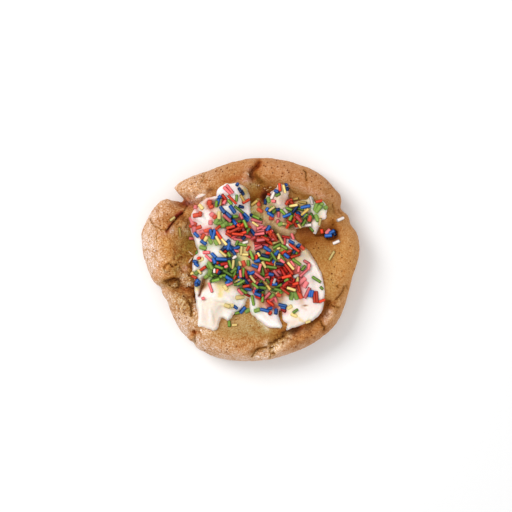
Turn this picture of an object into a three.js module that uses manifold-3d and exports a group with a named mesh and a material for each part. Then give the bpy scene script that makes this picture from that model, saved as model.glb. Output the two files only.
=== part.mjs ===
import * as THREE from 'three';
import { mergeVertices } from 'three/addons/utils/BufferGeometryUtils.js';
import Module from 'manifold-3d';

// A birthday cake cookie: a thick, craggy round of baked dough with a hollow top, a broad dollop
// of icing lying in the hollow, and a smaller patch of icing beside it at the upper right.
// Millimetres, +Z up, the origin at the middle of the flat base.

const wasm = await Module();
wasm.setup();

// Angles are in degrees from +X, counterclockwise. A bulge pushes an edge out over a soft spread
// of angles, and a slot draws it in between two angles with walls as wide as soft.
const dough = {
  centre: [0, 0],
  radius: 45,
  waist: 6.5,          // height at which the side is widest
  rim: 18,             // height of the crust, away from its mounds
  shoulder: 9,         // how far in from the edge the crust is still rising
  squareness: 2.3,     // 2 is a round shoulder, more is boxier
  hollowFrom: 8.4,     // how far in from the edge the crust starts to fall into the hollow
  floor: 12.5,         // height of the hollow under the icing
  bulges: [
    { at: 8, spread: 10, out: 3.6 },       // right lobe
    { at: 30, spread: 2.5, out: -1 },
    { at: 46, spread: 17, out: 4.2 },      // upper right lobe
    { at: 109, spread: 14, out: -1.7 },    // flat top
    { at: 131, spread: 7, out: 1.2 },      // upper left lobe
    { at: 163, spread: 14, out: 4.3 },     // left lobe
    { at: 188, spread: 5, out: 0.6 },
    { at: 205, spread: 13, out: -4.8 },    // drawn-in lower left
    { at: 247, spread: 9, out: 0.8 },
    { at: 322, spread: 13, out: 2.3 },     // lower right lobe
  ],
  slots: [{ from: 137, to: 143.5, soft: 0.9, deep: 5.6 }],   // the split between two lobes
};

// The lower side, from the flat base up to the waist: how far in, and how high.
const lowerSide = [[3.6, 0], [1.5, 1.3], [0.4, 3.6], [0, dough.waist]];

// How far in from the edge the rings of the crust lie, the last at the edge of the hollow's floor.
const crustInsets = [0.35, 1.2, 2.8, 5.2, 8.4, 12, 15.5, 19, 23];

// Mounds (rise above 0) and pits (rise below 0) of the crust: middle, half widths and turn.
const mounds = [
  { x: -36, y: 7, wide: 7, deep: 13, turn: 8, rise: 1.5 },       // left lobe
  { x: -17, y: 34, wide: 9, deep: 5, turn: 32, rise: 1.3 },      // upper left lobe
  { x: 21, y: 33, wide: 12, deep: 6, turn: -32, rise: 1.2 },     // upper right lobe
  { x: 40, y: 4, wide: 5, deep: 13, turn: 6, rise: 0.8 },        // right lobe
  { x: 33, y: -29, wide: 6, deep: 6, turn: 0, rise: 0.7 },       // lower right lobe
  { x: -3, y: -37, wide: 17, deep: 5, turn: 4, rise: 1.2 },      // bottom lobe
  { x: -29, y: -25, wide: 5, deep: 9, turn: 42, rise: 1.0 },     // lower left lobe
  { x: 8, y: 28.5, wide: 7, deep: 3.5, turn: 10, rise: -3 },     // glossy pit at the top
  { x: 28, y: 9, wide: 5, deep: 4, turn: 40, rise: -2.8 },       // pit right of the icing
  { x: 34.8, y: 12.2, wide: 2.4, deep: 2, turn: 30, rise: -2 },
];

// Creases where the crust tore as it spread: the line of each, its half width and depth.
const creases = [
  { line: [[2.6, 45], [3, 40.5], [1.2, 37.4], [0.6, 33.5], [5, 30]], wide: 1.5, deep: 3.6 },
  { line: [[-37, 30.5], [-30, 26.4], [-26, 25.6], [-22, 24.5]], wide: 2.2, deep: 4.5 },
  { line: [[-38.5, -12.5], [-33, -12], [-29, -13.2], [-25, -17], [-23.6, -21]], wide: 1.8, deep: 3 },
  { line: [[2.5, -41.5], [9.5, -38.8], [17, -33.5], [25.5, -29.5]], wide: 1.9, deep: 2.6 },
  { line: [[25.5, -29.5], [32, -25], [34.5, -19]], wide: 1.9, deep: 2.6 },
];

const dollop = {
  centre: [3.5, 1],
  radius: 27,
  thick: 3.2,          // above the crust at its rounded edge
  edgeRound: 2.8,
  level: 17.2,         // the height to which the icing fills the hollow
  levelWithin: 9,      // how far in from its edge it reaches that level
  root: 9,             // deeper than any of the crust under it
  bulges: [
    { at: 60, spread: 22, out: -14.5 },    // drawn in beside the patch
    { at: 112, spread: 10, out: 10.5 },    // round knob at the top
    { at: 143, spread: 13, out: 8.4 },     // left shoulder
    { at: 186, spread: 12, out: 1.6 },
    { at: 232, spread: 11.5, out: 12.6 },  // left foot
    { at: 256, spread: 8, out: -10 },      // bay between the feet
    { at: 300, spread: 20, out: 6.5 },     // right foot
    { at: 324, spread: 15, out: 5 },       // right flank
  ],
  slots: [
    { from: 288.6, to: 292, soft: 1, deep: 8 },      // channel through the right foot
    { from: 124, to: 127.5, soft: 1.5, deep: 2.4 },  // nick under the knob
  ],
  mounds: [
    { x: -7, y: 27, wide: 6, deep: 6, turn: 0, rise: 1.3 },       // knob
    { x: -17, y: 17, wide: 6, deep: 8, turn: 20, rise: 1 },       // left shoulder
    { x: -3, y: 13, wide: 5, deep: 12, turn: 35, rise: -1 },      // valley behind the shoulder
    { x: 8, y: -3, wide: 13, deep: 9, turn: -20, rise: 1.5 },     // belly
    { x: 26, y: -14, wide: 6, deep: 11, turn: 15, rise: 0.9 },    // right flank
    { x: -14, y: -20, wide: 2.6, deep: 9, turn: -4, rise: 0.8 },  // ridges drawn by the spreader
    { x: -19, y: -18, wide: 1.8, deep: 9, turn: -2, rise: -0.8 },
  ],
};

const patch = {
  centre: [18.5, 21],
  radius: 11.6,
  thick: 2.2,
  edgeRound: 2,
  level: 16.4,
  levelWithin: 7,
  root: 9,
  bulges: [
    { at: 85, spread: 15, out: -6.4 },     // bay in its upper edge
    { at: 122, spread: 12, out: 2.2 },
    { at: 170, spread: 9, out: 3 },        // tip over the glossy pit
    { at: 303, spread: 6, out: -3.6 },     // nick in its lower edge
    { at: 350, spread: 22, out: 3 },       // star-shaped right end
  ],
  slots: [],
  mounds: [
    { x: 13, y: 27, wide: 4, deep: 5, turn: 0, rise: 0.9 },
    { x: 29, y: 20, wide: 4, deep: 5, turn: -30, rise: 1 },
  ],
};

const icingInsets = [0.15, 0.7, 1.5, 2.8];     // rings round the icing's edge
const icingShares = [0.84, 0.68, 0.5, 0.28];   // rings over its top, as shares of the way out
const slotReach = 18;      // how far in the slots still show
const seat = 0.3;          // gap between the icing and what it lies on or against
const ringStep = 3;        // degrees between the points of a ring
const slotStep = 1;        // the same inside a slot

const bell = (t) => Math.exp(-t * t / 2);
const smooth = (from, to, t) => THREE.MathUtils.smoothstep(t, from, to);
const turnFrom = (a, b) => THREE.MathUtils.euclideanModulo(a - b + 180, 360) - 180;
const total = (list, amount) => list.reduce((sum, item) => sum + amount(item), 0);
const angleOf = (x, y) => THREE.MathUtils.radToDeg(Math.atan2(y, x));

function slotDepth(slot, angle) {
  const middle = (slot.from + slot.to) / 2;
  const half = (slot.to - slot.from) / 2;
  const away = Math.abs(turnFrom(angle, middle));
  return slot.deep * (1 - smooth(half - slot.soft, half + slot.soft, away));
}

function softReach(shape, angle) {
  return shape.radius + total(shape.bulges, (b) => b.out * bell(turnFrom(angle, b.at) / b.spread));
}

function reach(shape, angle) {
  return softReach(shape, angle) - total(shape.slots, (slot) => slotDepth(slot, angle));
}

// A quarter round that climbs from 0 at the edge to 1 at a distance of span.
function quarterRound(inset, span, squareness = 2) {
  const left = 1 - THREE.MathUtils.clamp(inset / span, 0, 1);
  return (1 - left ** squareness) ** (1 / squareness);
}

function moundHeight(mound, x, y) {
  const turned = new THREE.Vector2(x - mound.x, y - mound.y);
  turned.rotateAround(new THREE.Vector2(), -THREE.MathUtils.degToRad(mound.turn));
  return mound.rise * bell(Math.hypot(turned.x / mound.wide, turned.y / mound.deep));
}

function distanceToLine(line, x, y) {
  const point = new THREE.Vector3(x, y, 0);
  const nearest = new THREE.Vector3();
  const distances = line.slice(1).map((end, i) => {
    const part = new THREE.Line3(new THREE.Vector3(...line[i], 0), new THREE.Vector3(...end, 0));
    return part.closestPointToPoint(point, true, nearest).distanceTo(point);
  });
  return Math.min(...distances);
}

const creaseDepth = (crease, x, y) => crease.deep * bell(distanceToLine(crease.line, x, y) / crease.wide);

function crustHeight(x, y) {
  const inset = reach(dough, angleOf(x, y)) - Math.hypot(x, y);
  const rise = quarterRound(inset, dough.shoulder, dough.squareness);
  const relief = total(mounds, (m) => moundHeight(m, x, y)) - total(creases, (c) => creaseDepth(c, x, y));
  const crust = dough.waist + (dough.rim - dough.waist + relief) * rise;
  return THREE.MathUtils.lerp(crust, dough.floor, smooth(dough.hollowFrom, crustInsets.at(-1), inset));
}

function ringAngles(shape) {
  const angles = [];
  const inSlot = (angle) => shape.slots.some((slot) => slotDepth(slot, angle) > 0);
  const nearSlot = (angle) => inSlot(angle) || inSlot(angle + ringStep);
  for (let angle = 0; angle < 360; angle += nearSlot(angle) ? slotStep : ringStep) {
    angles.push(angle);
  }
  return angles;
}

// One ring of points, drawn in from the shape's edge by inset and then to a share of what is left.
// Slots fade out as the rings go inwards.
function ring(shape, angles, inset, heightAt, share = 1) {
  const slotShare = share * (1 - smooth(0, slotReach, inset));
  return angles.map((angle) => {
    const edge = THREE.MathUtils.lerp(softReach(shape, angle), reach(shape, angle), slotShare);
    const out = (edge - inset) * share;
    const turn = THREE.MathUtils.degToRad(angle);
    const x = shape.centre[0] + out * Math.cos(turn);
    const y = shape.centre[1] + out * Math.sin(turn);
    return new THREE.Vector3(x, y, heightAt(x, y, edge - out));
  });
}

// A closed skin over rings of equal length, listed from the bottom up, with a fan at each end.
function skinOver(rings, bottomHeight, topHeight, centre) {
  const count = rings[0].length;
  const bottom = new THREE.Vector3(...centre, bottomHeight);
  const top = new THREE.Vector3(...centre, topHeight);
  const corners = [];
  for (let i = 0; i < count; i += 1) {
    const next = (i + 1) % count;
    corners.push(bottom, rings[0][next], rings[0][i]);
    corners.push(top, rings.at(-1)[i], rings.at(-1)[next]);
    for (let k = 0; k + 1 < rings.length; k += 1) {
      const [low, high] = [rings[k], rings[k + 1]];
      corners.push(low[i], low[next], high[next], low[i], high[next], high[i]);
    }
  }
  return mergeVertices(new THREE.BufferGeometry().setFromPoints(corners), 1e-5);
}

function solidFrom(geometry) {
  const vertProperties = new Float32Array(geometry.attributes.position.array);
  const triVerts = new Uint32Array(geometry.index.array);
  return new wasm.Manifold(new wasm.Mesh({ numProp: 3, vertProperties, triVerts }));
}

function geometryFrom(solid) {
  const mesh = solid.getMesh();
  const geometry = new THREE.BufferGeometry();
  geometry.setAttribute('position', new THREE.BufferAttribute(mesh.vertProperties, 3));
  geometry.setIndex(new THREE.BufferAttribute(mesh.triVerts, 1));
  return geometry;
}

function doughSkin(lift = 0) {
  const angles = ringAngles(dough);
  const sides = lowerSide.map(([inset, height]) => ring(dough, angles, inset, () => height + lift));
  const crust = crustInsets.map((inset) => ring(dough, angles, inset, (x, y) => crustHeight(x, y) + lift));
  return skinOver([...sides, ...crust], lift, dough.floor + lift, dough.centre);
}

function icingHeight(shape, x, y, inset) {
  const lying = THREE.MathUtils.lerp(crustHeight(x, y), shape.level, smooth(0, shape.levelWithin, inset));
  const relief = total(shape.mounds, (mound) => moundHeight(mound, x, y));
  return lying + (shape.thick + relief) * quarterRound(inset, shape.edgeRound);
}

// An icing blob that reaches down through the crust, to be trimmed by it. grow makes it larger.
function icingSkin(shape, grow = 0) {
  const angles = ringAngles(shape);
  const grown = { ...shape, radius: shape.radius + grow };
  const onTop = (x, y, inset) => icingHeight(shape, x, y, inset) + grow;
  const foot = ring(grown, angles, 0, () => shape.root);
  const edge = ring(grown, angles, 0, (x, y) => crustHeight(x, y) + grow);
  const round = icingInsets.map((inset) => ring(grown, angles, inset, onTop));
  const inner = icingShares.map((share) => ring(grown, angles, icingInsets.at(-1), onTop, share));
  const middle = icingHeight(shape, ...shape.centre, shape.radius) + grow;
  return skinOver([foot, edge, ...round, ...inner], shape.root, middle, shape.centre);
}

function piece(name, geometry, color, roughness) {
  const material = new THREE.MeshStandardMaterial({ color, roughness, metalness: 0 });
  const mesh = new THREE.Mesh(geometry, material);
  mesh.name = name;
  return mesh;
}

const raisedDough = solidFrom(doughSkin(seat));
const grownDollop = solidFrom(icingSkin(dollop, seat));
const dollopSolid = solidFrom(icingSkin(dollop)).subtract(raisedDough);
const patchSolid = solidFrom(icingSkin(patch)).subtract(raisedDough).subtract(grownDollop);

const cookie = new THREE.Group();
cookie.add(piece('cookie', doughSkin(), 0xc38c62, 0.75));
cookie.add(piece('icing_dollop', geometryFrom(dollopSolid), 0xf6ece4, 0.4));
cookie.add(piece('icing_patch', geometryFrom(patchSolid), 0xefdfc4, 0.35));

// The lobes are uneven, so the middle of the whole outline is brought over the origin.
const middle = new THREE.Box3().setFromObject(cookie).getCenter(new THREE.Vector3());
cookie.position.set(-middle.x, -middle.y, 0);

export default cookie;
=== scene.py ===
import math
import random

import bmesh
import bpy
import numpy as np
from mathutils import Matrix, Vector
from mathutils.bvhtree import BVHTree


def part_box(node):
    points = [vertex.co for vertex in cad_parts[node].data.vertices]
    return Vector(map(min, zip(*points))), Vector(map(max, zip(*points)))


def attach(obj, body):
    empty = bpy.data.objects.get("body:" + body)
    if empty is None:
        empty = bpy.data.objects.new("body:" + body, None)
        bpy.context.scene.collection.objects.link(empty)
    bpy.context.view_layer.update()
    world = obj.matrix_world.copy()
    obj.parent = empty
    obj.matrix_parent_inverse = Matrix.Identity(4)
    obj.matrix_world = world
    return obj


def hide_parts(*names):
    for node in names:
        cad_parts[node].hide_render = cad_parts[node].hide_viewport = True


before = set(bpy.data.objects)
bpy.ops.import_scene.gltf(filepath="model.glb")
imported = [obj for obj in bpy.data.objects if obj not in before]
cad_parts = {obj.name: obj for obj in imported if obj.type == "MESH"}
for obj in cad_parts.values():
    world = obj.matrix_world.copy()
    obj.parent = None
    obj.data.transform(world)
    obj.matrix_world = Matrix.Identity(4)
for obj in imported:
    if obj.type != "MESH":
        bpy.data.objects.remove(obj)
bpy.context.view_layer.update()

# Shapes are worked out in millimetres about the dough's own centre, with angles in degrees
# from +X, and go into the frame in metres at the end.
mm = 0.001
random.seed(7)
np.random.seed(7)


def bell(t):
    return np.exp(-t * t / 2)


def smooth(start, end, t):
    t = np.clip((t - start) / (end - start), 0, 1)
    return t * t * (3 - 2 * t)


def blend(a, b, share):
    return a + (b - a) * share


def turnFrom(a, b):
    return (a - b + 180) % 360 - 180


def angleOf(x, y):
    return np.degrees(np.arctan2(y, x)) % 360


lattice = np.random.RandomState(11).rand(32, 32, 32) * 2 - 1


def lumps(points, size, seed, detail=1):
    # Soft random relief between about -1 and 1, with features as large as size.
    total, weight = 0, 1
    for octave in range(detail):
        p = points / size * 2.1 ** octave + seed * 17.31 + octave * 5.7
        cell = np.floor(p).astype(int)
        near = p - cell
        near = near * near * (3 - 2 * near)
        value = 0
        for i, j, k in np.ndindex(2, 2, 2):
            corner = (cell + (i, j, k)) % 32
            share = np.abs((1 - i, 1 - j, 1 - k) - near).prod(axis=1)
            value = value + lattice[tuple(corner.T)] * share
        total, weight = total + value * weight, weight * 0.5
    return total


def unevenness(points, layers):
    # Adds up layers of relief, each one given by its rise, size, seed and detail.
    return sum(rise * lumps(points, size, seed, detail) for rise, size, seed, detail in layers)


def softReach(shape, angle):
    bulges = (out * bell(turnFrom(angle, at) / wide) for at, wide, out in shape["bulges"])
    return shape["radius"] + sum(bulges)


def slotDepth(shape, angle):
    depth = 0 * angle
    for start, end, soft, deep in shape["slots"]:
        away = abs(turnFrom(angle, (start + end) / 2))
        half = (end - start) / 2
        depth = depth + deep * (1 - smooth(half - soft, half + soft, away))
    return depth


def quarterRound(inset, span, squareness=2):
    left = 1 - np.clip(inset / span, 0, 1)
    return (1 - left ** squareness) ** (1 / squareness)


def spotAt(x, y, spot):
    # A soft oval: middle, half widths and turn.
    midX, midY, wide, deep, turn = spot
    c, s = math.cos(math.radians(turn)), math.sin(math.radians(turn))
    u = (x - midX) * c + (y - midY) * s
    v = (y - midY) * c - (x - midX) * s
    return bell(np.hypot(u / wide, v / deep))


def moundsAt(x, y, mounds):
    return sum(rise * spotAt(x, y, spot) for *spot, rise in mounds)


def nearestOn(line, x, y):
    # The distance to a line of points, and the nearest place on it.
    nearest, nearX, nearY = np.full(x.shape, 1e9), x.copy(), y.copy()
    for (ax, ay), (bx, by) in zip(line, line[1:]):
        length2 = (bx - ax) ** 2 + (by - ay) ** 2 + 1e-12
        t = np.clip(((x - ax) * (bx - ax) + (y - ay) * (by - ay)) / length2, 0, 1)
        placeX, placeY = ax + t * (bx - ax), ay + t * (by - ay)
        away = np.hypot(x - placeX, y - placeY)
        closer = away < nearest
        nearest[closer], nearX[closer], nearY[closer] = away[closer], placeX[closer], placeY[closer]
    return nearest, nearX, nearY


def lineDistance(line, x, y):
    return nearestOn(line, x, y)[0]


def isInside(outline, x, y):
    inside = np.zeros(x.shape, bool)
    for (ax, ay), (bx, by) in zip(outline, outline[1:]):
        if ay != by:
            crosses = ((ay > y) != (by > y)) & (x < ax + (y - ay) * (bx - ax) / (by - ay))
            inside ^= crosses
    return inside


def roundOff(points, times):
    # Cuts the corners of a closed outline again and again, and closes it.
    points = np.array(points, float)
    for _ in range(times):
        ends = np.roll(points, -1, axis=0)
        points = np.stack([points * 0.75 + ends * 0.25, points * 0.25 + ends * 0.75], axis=1).reshape(-1, 2)
    return np.concatenate([points, points[:1]])


# The baked dough, in its main measures.
dough = {
    "radius": 45, "waist": 6.5, "rim": 18, "shoulder": 9, "squareness": 2.3,
    "hollowFrom": 8.4, "hollowTo": 23, "floor": 12.5,
    "underRound": 3.2, "shoulderRise": 11, "coarseWithin": 17,
    # at, spread, out
    "bulges": [
        (8, 10, 3.6), (30, 2.5, -1), (46, 17, 4.2), (109, 14, -1.7), (131, 7, 1.2), (163, 14, 4.3),
        (188, 5, 0.6), (205, 13, -4.8), (247, 9, 0.8), (322, 13, 2.3), (28.6, 2.2, -1),
        (19.4, 2.4, -0.9), (36.5, 2.2, 0.5), (84, 12, 0.6), (166, 3, 0.4), (146, 3, 0.5),
        (144, 1.6, -1.3), (193, 3, 0.7), (197.6, 1.6, -0.9), (202, 3, 0.8), (212, 6, 0.6),
        (235.6, 1.2, -0.5), (232, 3, -0.4), (240, 2, 0.4),
    ],
    # from, to, soft, deep: the split between the two upper left lobes
    "slots": [
        (137, 143.3, 0.5, 1.5), (137, 142.5, 0.6, 1.8), (137.1, 141.5, 0.7, 1.5),
        (137.3, 140.3, 0.9, 1.7),
    ],
    # x, y, wide, deep, turn, rise
    "mounds": [
        (-36, 7, 7, 13, 8, 1.5), (-17, 34, 9, 5, 32, 1.3), (21, 33, 12, 6, -32, 1.2),
        (40, 4, 5, 13, 6, 0.8), (33, -29, 6, 6, 0, 0.7), (-3, -37, 17, 5, 4, 1.2),
        (-29, -25, 5, 9, 42, 1.0), (8, 28.5, 7, 3.5, 10, -3), (28, 9, 5, 4, 40, -2.8),
        (34.8, 12.2, 2.4, 2, 30, -2),
    ],
    # line, wide, deep
    "creases": [
        ([(4.4, 45), (3.4, 41.6), (0.9, 38.8), (0.6, 36.4), (5, 32)], 1.2, 2.6),
        ([(-37, 30.5), (-30, 26.4), (-26, 25.6), (-22, 24.5)], 2.2, 4.5),
        ([(-38.5, -12.5), (-33, -12), (-29, -13.2), (-25, -17), (-23.6, -21)], 1.8, 3),
        ([(2.5, -41.5), (9.5, -38.8), (17, -33.5), (25.5, -29.5)], 1.9, 2.6),
        ([(25.5, -29.5), (32, -25), (34.5, -19)], 1.9, 2.6),
    ],
    "inner": 22, "slotReach": 18, "around": 720, "spacing": 0.42,
}


def reach(shape, angle):
    return softReach(shape, angle) - slotDepth(shape, angle)


def crustHeight(x, y):
    inset = reach(dough, angleOf(x, y)) - np.hypot(x, y)
    rise = quarterRound(inset, dough["shoulder"], dough["squareness"])
    relief = moundsAt(x, y, dough["mounds"])
    for line, wide, deep in dough["creases"]:
        relief = relief - deep * bell(lineDistance(line, x, y) / wide)
    crust = dough["waist"] + (dough["rim"] - dough["waist"] + relief) * rise
    return blend(crust, dough["floor"], smooth(dough["hollowFrom"], dough["hollowTo"], inset))


def outlineMiddle(shape):
    # The middle of the outline's box, which the frame has over its origin.
    angle = np.arange(0, 360, 0.5)
    out = reach(shape, angle)
    x, y = out * np.cos(np.radians(angle)), out * np.sin(np.radians(angle))
    return (x.max() + x.min()) / 2, (y.max() + y.min()) / 2


cadLow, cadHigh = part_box("cookie")
middle = outlineMiddle(dough)
shift = ((cadLow[0] + cadHigh[0]) / 2 / mm - middle[0], (cadLow[1] + cadHigh[1]) / 2 / mm - middle[1])


def lathe(profile, around):
    # Spins a profile of (radius, height) round the Z axis into a closed mesh.
    form = bmesh.new()
    points = [form.verts.new((r, 0, z)) for r, z in profile]
    edges = [form.edges.new(pair) for pair in zip(points, points[1:])]
    bmesh.ops.spin(form, geom=points + edges, axis=(0, 0, 1), cent=(0, 0, 0), steps=around,
                   angle=2 * math.pi, use_merge=True)
    bmesh.ops.remove_doubles(form, verts=form.verts, dist=1e-4)
    bmesh.ops.recalc_face_normals(form, faces=form.faces)
    return form


def steps(start, end, spacing):
    count = max(1, round(abs(end - start) / spacing))
    return [start + (end - start) * i / count for i in range(count)]


def coordsOf(form):
    return np.array([v.co[:] for v in form.verts])


def setCoords(form, coords):
    for vert, co in zip(form.verts, coords):
        vert.co = co
    form.normal_update()


def normalsOf(form):
    return np.array([v.normal[:] for v in form.verts])


def finishPiece(name, form, masks=None, replaces=None):
    # Puts the form into the frame in metres, with its masks as colour attributes.
    coords = coordsOf(form) + np.array((shift[0], shift[1], 0))
    setCoords(form, coords * mm)
    mesh = bpy.data.meshes.new(name)
    form.to_mesh(mesh)
    form.free()
    mesh.shade_smooth()
    for maskName, values in (masks or {}).items():
        layer = mesh.attributes.new(maskName, "FLOAT_COLOR", "POINT")
        rgba = np.ones((len(mesh.vertices), 4))
        rgba[:, :values.shape[1]] = values
        layer.data.foreach_set("color", rgba.ravel())
    piece = bpy.data.objects.new(name, mesh)
    bpy.context.scene.collection.objects.link(piece)
    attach(piece, "root")
    if replaces:
        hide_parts(replaces)
    print("made", name, len(mesh.polygons), "faces")
    return piece


def moveOut(shape, nominal):
    # Carries the points of a round lathe out to the shape's uneven outline.
    angle = angleOf(nominal[:, 0], nominal[:, 1])
    r = np.hypot(nominal[:, 0], nominal[:, 1])
    inset = shape["radius"] - r
    slotShare = 1 - smooth(0, shape["slotReach"], inset)
    edge = blend(softReach(shape, angle), reach(shape, angle), slotShare)
    innerEdge = edge - (shape["radius"] - shape["inner"])
    out = np.where(r > shape["inner"], edge - inset, r * innerEdge / shape["inner"])
    return out * np.cos(np.radians(angle)), out * np.sin(np.radians(angle)), np.maximum(edge - out, 0)


def doughProfile():
    # Half of the dough's section, from the middle of its base round to the middle of its top.
    radius, waist, rim = dough["radius"], dough["waist"], dough["rim"]
    underRound, shoulder, coarse = dough["underRound"], dough["shoulder"], dough["coarseWithin"]
    profile = [(r, 0) for r in steps(0, radius - 5, 6)]
    profile += [(r, 0) for r in steps(radius - 5, radius - underRound, 0.6)]
    for turn in np.radians(np.arange(0, 90, 8)):       # the rounded lower side
        profile.append((radius - underRound + underRound * math.sin(turn), waist * (1 - math.cos(turn))))
    for turn in np.radians(np.arange(0, 90, 3.2)):     # the shoulder
        inset = shoulder * (1 - math.cos(turn))
        profile.append((radius - inset, waist + dough["shoulderRise"] * math.sin(turn)))
    profile += [(r, rim) for r in steps(radius - shoulder, coarse, dough["spacing"])]
    profile += [(r, rim) for r in steps(coarse, 0, 1.5)] + [(0, rim)]
    return profile


def screenColour(rgb):
    # Turns a 0 to 255 screen colour into the light values that materials use.
    c = np.array(rgb) / 255
    return np.where(c <= 0.04045, c / 12.92, ((c + 0.055) / 1.055) ** 2.4)


def rgba(rgb):
    return (*screenColour(rgb), 1)


# bright, deep and the dye that runs from it; deep is a darker sugar that also stands for strands lying in
# shade
sugarTones = {
    "red": ((200, 52, 22), (164, 24, 12), (224, 130, 100)),
    "pink": ((214, 100, 102), (206, 76, 76), (240, 168, 166)),
    "green": ((104, 140, 46), (78, 106, 34), (184, 194, 118)),
    "blue": ((16, 78, 152), (0, 30, 74), (150, 176, 214)),
    "yellow": ((218, 190, 116), (184, 150, 74), (236, 222, 166)),
    "white": ((216, 202, 194), (206, 188, 184), (238, 230, 225)),
}


def put(tree, kind, inputs=None, **settings):
    # Adds a node, sets it up and links the inputs that are given as sockets.
    node = tree.nodes.new(kind)
    for name, value in settings.items():
        setattr(node, name, value)
    for name, value in (inputs or {}).items():
        if isinstance(value, bpy.types.NodeSocket):
            tree.links.new(value, node.inputs[name])
        else:
            node.inputs[name].default_value = value
    return node


def mixColours(tree, share, a, b, kind="MIX"):
    node = tree.nodes.new("ShaderNodeMix")
    node.data_type, node.blend_type = "RGBA", kind
    for socket, value in ((node.inputs[0], share), (node.inputs[6], a), (node.inputs[7], b)):
        if isinstance(value, bpy.types.NodeSocket):
            tree.links.new(value, socket)
        else:
            socket.default_value = value
    return node.outputs[2]


def sums(tree, operation, a, b, c=None):
    node = put(tree, "ShaderNodeMath", operation=operation)
    for socket, value in zip(node.inputs, (a, b, c)):
        if isinstance(value, bpy.types.NodeSocket):
            tree.links.new(value, socket)
        elif value is not None:
            socket.default_value = value
    return node.outputs[0]


def spread(tree, value, low, high, start=0, end=1):
    # Stretches the part of a value between low and high to go from start to end.
    return put(tree, "ShaderNodeMapRange", {0: value, 1: low, 2: high, 3: start, 4: end}).outputs[0]


def painted(tree, name, output="Color"):
    # What a piece's colour attribute holds, or its alpha.
    return put(tree, "ShaderNodeAttribute", attribute_name=name).outputs[output]


def parts(tree, colour):
    # The three values that a colour holds.
    return put(tree, "ShaderNodeSeparateColor", {0: colour}).outputs


def noise(tree, place, scale, detail, roughness=0.5):
    inputs = {"Vector": place, "Scale": scale, "Detail": detail, "Roughness": roughness}
    return put(tree, "ShaderNodeTexNoise", inputs).outputs["Fac"]


def cellsOf(tree, place, scale):
    return put(tree, "ShaderNodeTexVoronoi", {"Vector": place, "Scale": scale, "Randomness": 1}).outputs


def shaded(tree, colour, light):
    # A colour made lighter or darker by a plain value.
    grey = put(tree, "ShaderNodeCombineColor", {0: light, 1: light, 2: light})
    return mixColours(tree, 1, colour, grey.outputs[0], "MULTIPLY")


def group(name, inputs, outputs):
    tree = bpy.data.node_groups.new(name, "ShaderNodeTree")
    for socketName, kind, value in inputs:
        socket = tree.interface.new_socket(socketName, in_out="INPUT", socket_type="NodeSocket" + kind)
        socket.default_value = value
    for socketName, kind in outputs:
        tree.interface.new_socket(socketName, in_out="OUTPUT", socket_type="NodeSocket" + kind)
    return tree, tree.nodes.new("NodeGroupInput"), tree.nodes.new("NodeGroupOutput")


def useGroup(tree, shared, inputs):
    return put(tree, "ShaderNodeGroup", inputs, node_tree=shared)


def fineGrain():
    # Broad cloudiness, fine speckle and a height for bumps, with the sizes in metres.
    tree, start, end = group("fine grain", [("Broad Size", "Float", 0.004), ("Fine Size", "Float", 0.0006)],
                             [("Broad", "Float"), ("Fine", "Float"), ("Height", "Float")])
    place = put(tree, "ShaderNodeTexCoord").outputs["Object"]
    broad = noise(tree, place, sums(tree, "DIVIDE", 1, start.outputs[0]), 3)
    fine = noise(tree, place, sums(tree, "DIVIDE", 1, start.outputs[1]), 4, 0.65)
    height = sums(tree, "MULTIPLY_ADD", broad, 0.4, sums(tree, "MULTIPLY", fine, 0.6))
    for name, value in (("Broad", broad), ("Fine", fine), ("Height", height)):
        tree.links.new(value, end.inputs[name])
    return tree


def sugarSkin():
    # The colour, shine and unevenness of one strand. Its own tone holds how bright it is, how
    # deep its colour, how far it has run, and in its alpha the painted light and shade on each of its
    # points.
    tree, start, end = group("sugar skin",
                             [("Bright", "Color", (1, 1, 1, 1)), ("Deep", "Color", (0.5, 0.5, 0.5, 1)),
                              ("Run", "Color", (1, 1, 1, 1))],
                             [("Color", "Color"), ("Roughness", "Float"), ("Height", "Float")])
    bright, deep, run = start.outputs[0], start.outputs[1], start.outputs[2]
    lightness, depth, softness = parts(tree, painted(tree, "strandTone"))
    lit = painted(tree, "strandTone", "Alpha")
    grain = useGroup(tree, grainGroup, {"Broad Size": 0.0011, "Fine Size": 0.00028})
    broad, fine = grain.outputs["Broad"], grain.outputs["Fine"]
    colour = mixColours(tree, depth, bright, deep)
    colour = mixColours(tree, sums(tree, "MULTIPLY", softness, 0.2), colour, run)
    light = sums(tree, "MULTIPLY_ADD", lightness, 0.8, 0.5)
    light = sums(tree, "MULTIPLY_ADD", broad, 0.24, light)
    # painted light and shade: lighter on a strand's top, darker down its sides and where other strands lie
    # over it
    colour = shaded(tree, colour, sums(tree, "MULTIPLY", light, spread(tree, lit, 0, 1, 0.18, 1.26)))
    # painted highlights: pale glints from the fine noise, and a paler top ridge
    pale = sums(tree, "ADD", spread(tree, fine, 0.58, 0.74, 0, 0.3), spread(tree, lit, 0.7, 1, 0, 0.16))
    pale = sums(tree, "MULTIPLY", pale, spread(tree, depth, 0, 1, 1, 0.35))
    tree.links.new(mixColours(tree, pale, colour, run), end.inputs["Color"])
    tree.links.new(spread(tree, broad, 0.3, 0.7, 0.32, 0.55), end.inputs["Roughness"])
    tree.links.new(grain.outputs["Height"], end.inputs["Height"])
    return tree


grainGroup = fineGrain()
sugarGroup = sugarSkin()


def startMaterial(name, **fixed):
    material = bpy.data.materials.new(name)
    material.use_nodes = True
    shader = material.node_tree.nodes["Principled BSDF"]
    for socketName, value in fixed.items():
        shader.inputs[socketName.replace("_", " ")].default_value = value
    return material, material.node_tree, shader


def finishMaterial(tree, shader, colour, roughness, height, distance):
    tree.links.new(colour, shader.inputs["Base Color"])
    tree.links.new(roughness, shader.inputs["Roughness"])
    bump = put(tree, "ShaderNodeBump", {"Height": height, "Distance": distance, "Strength": 1})
    tree.links.new(bump.outputs[0], shader.inputs["Normal"])


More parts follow.
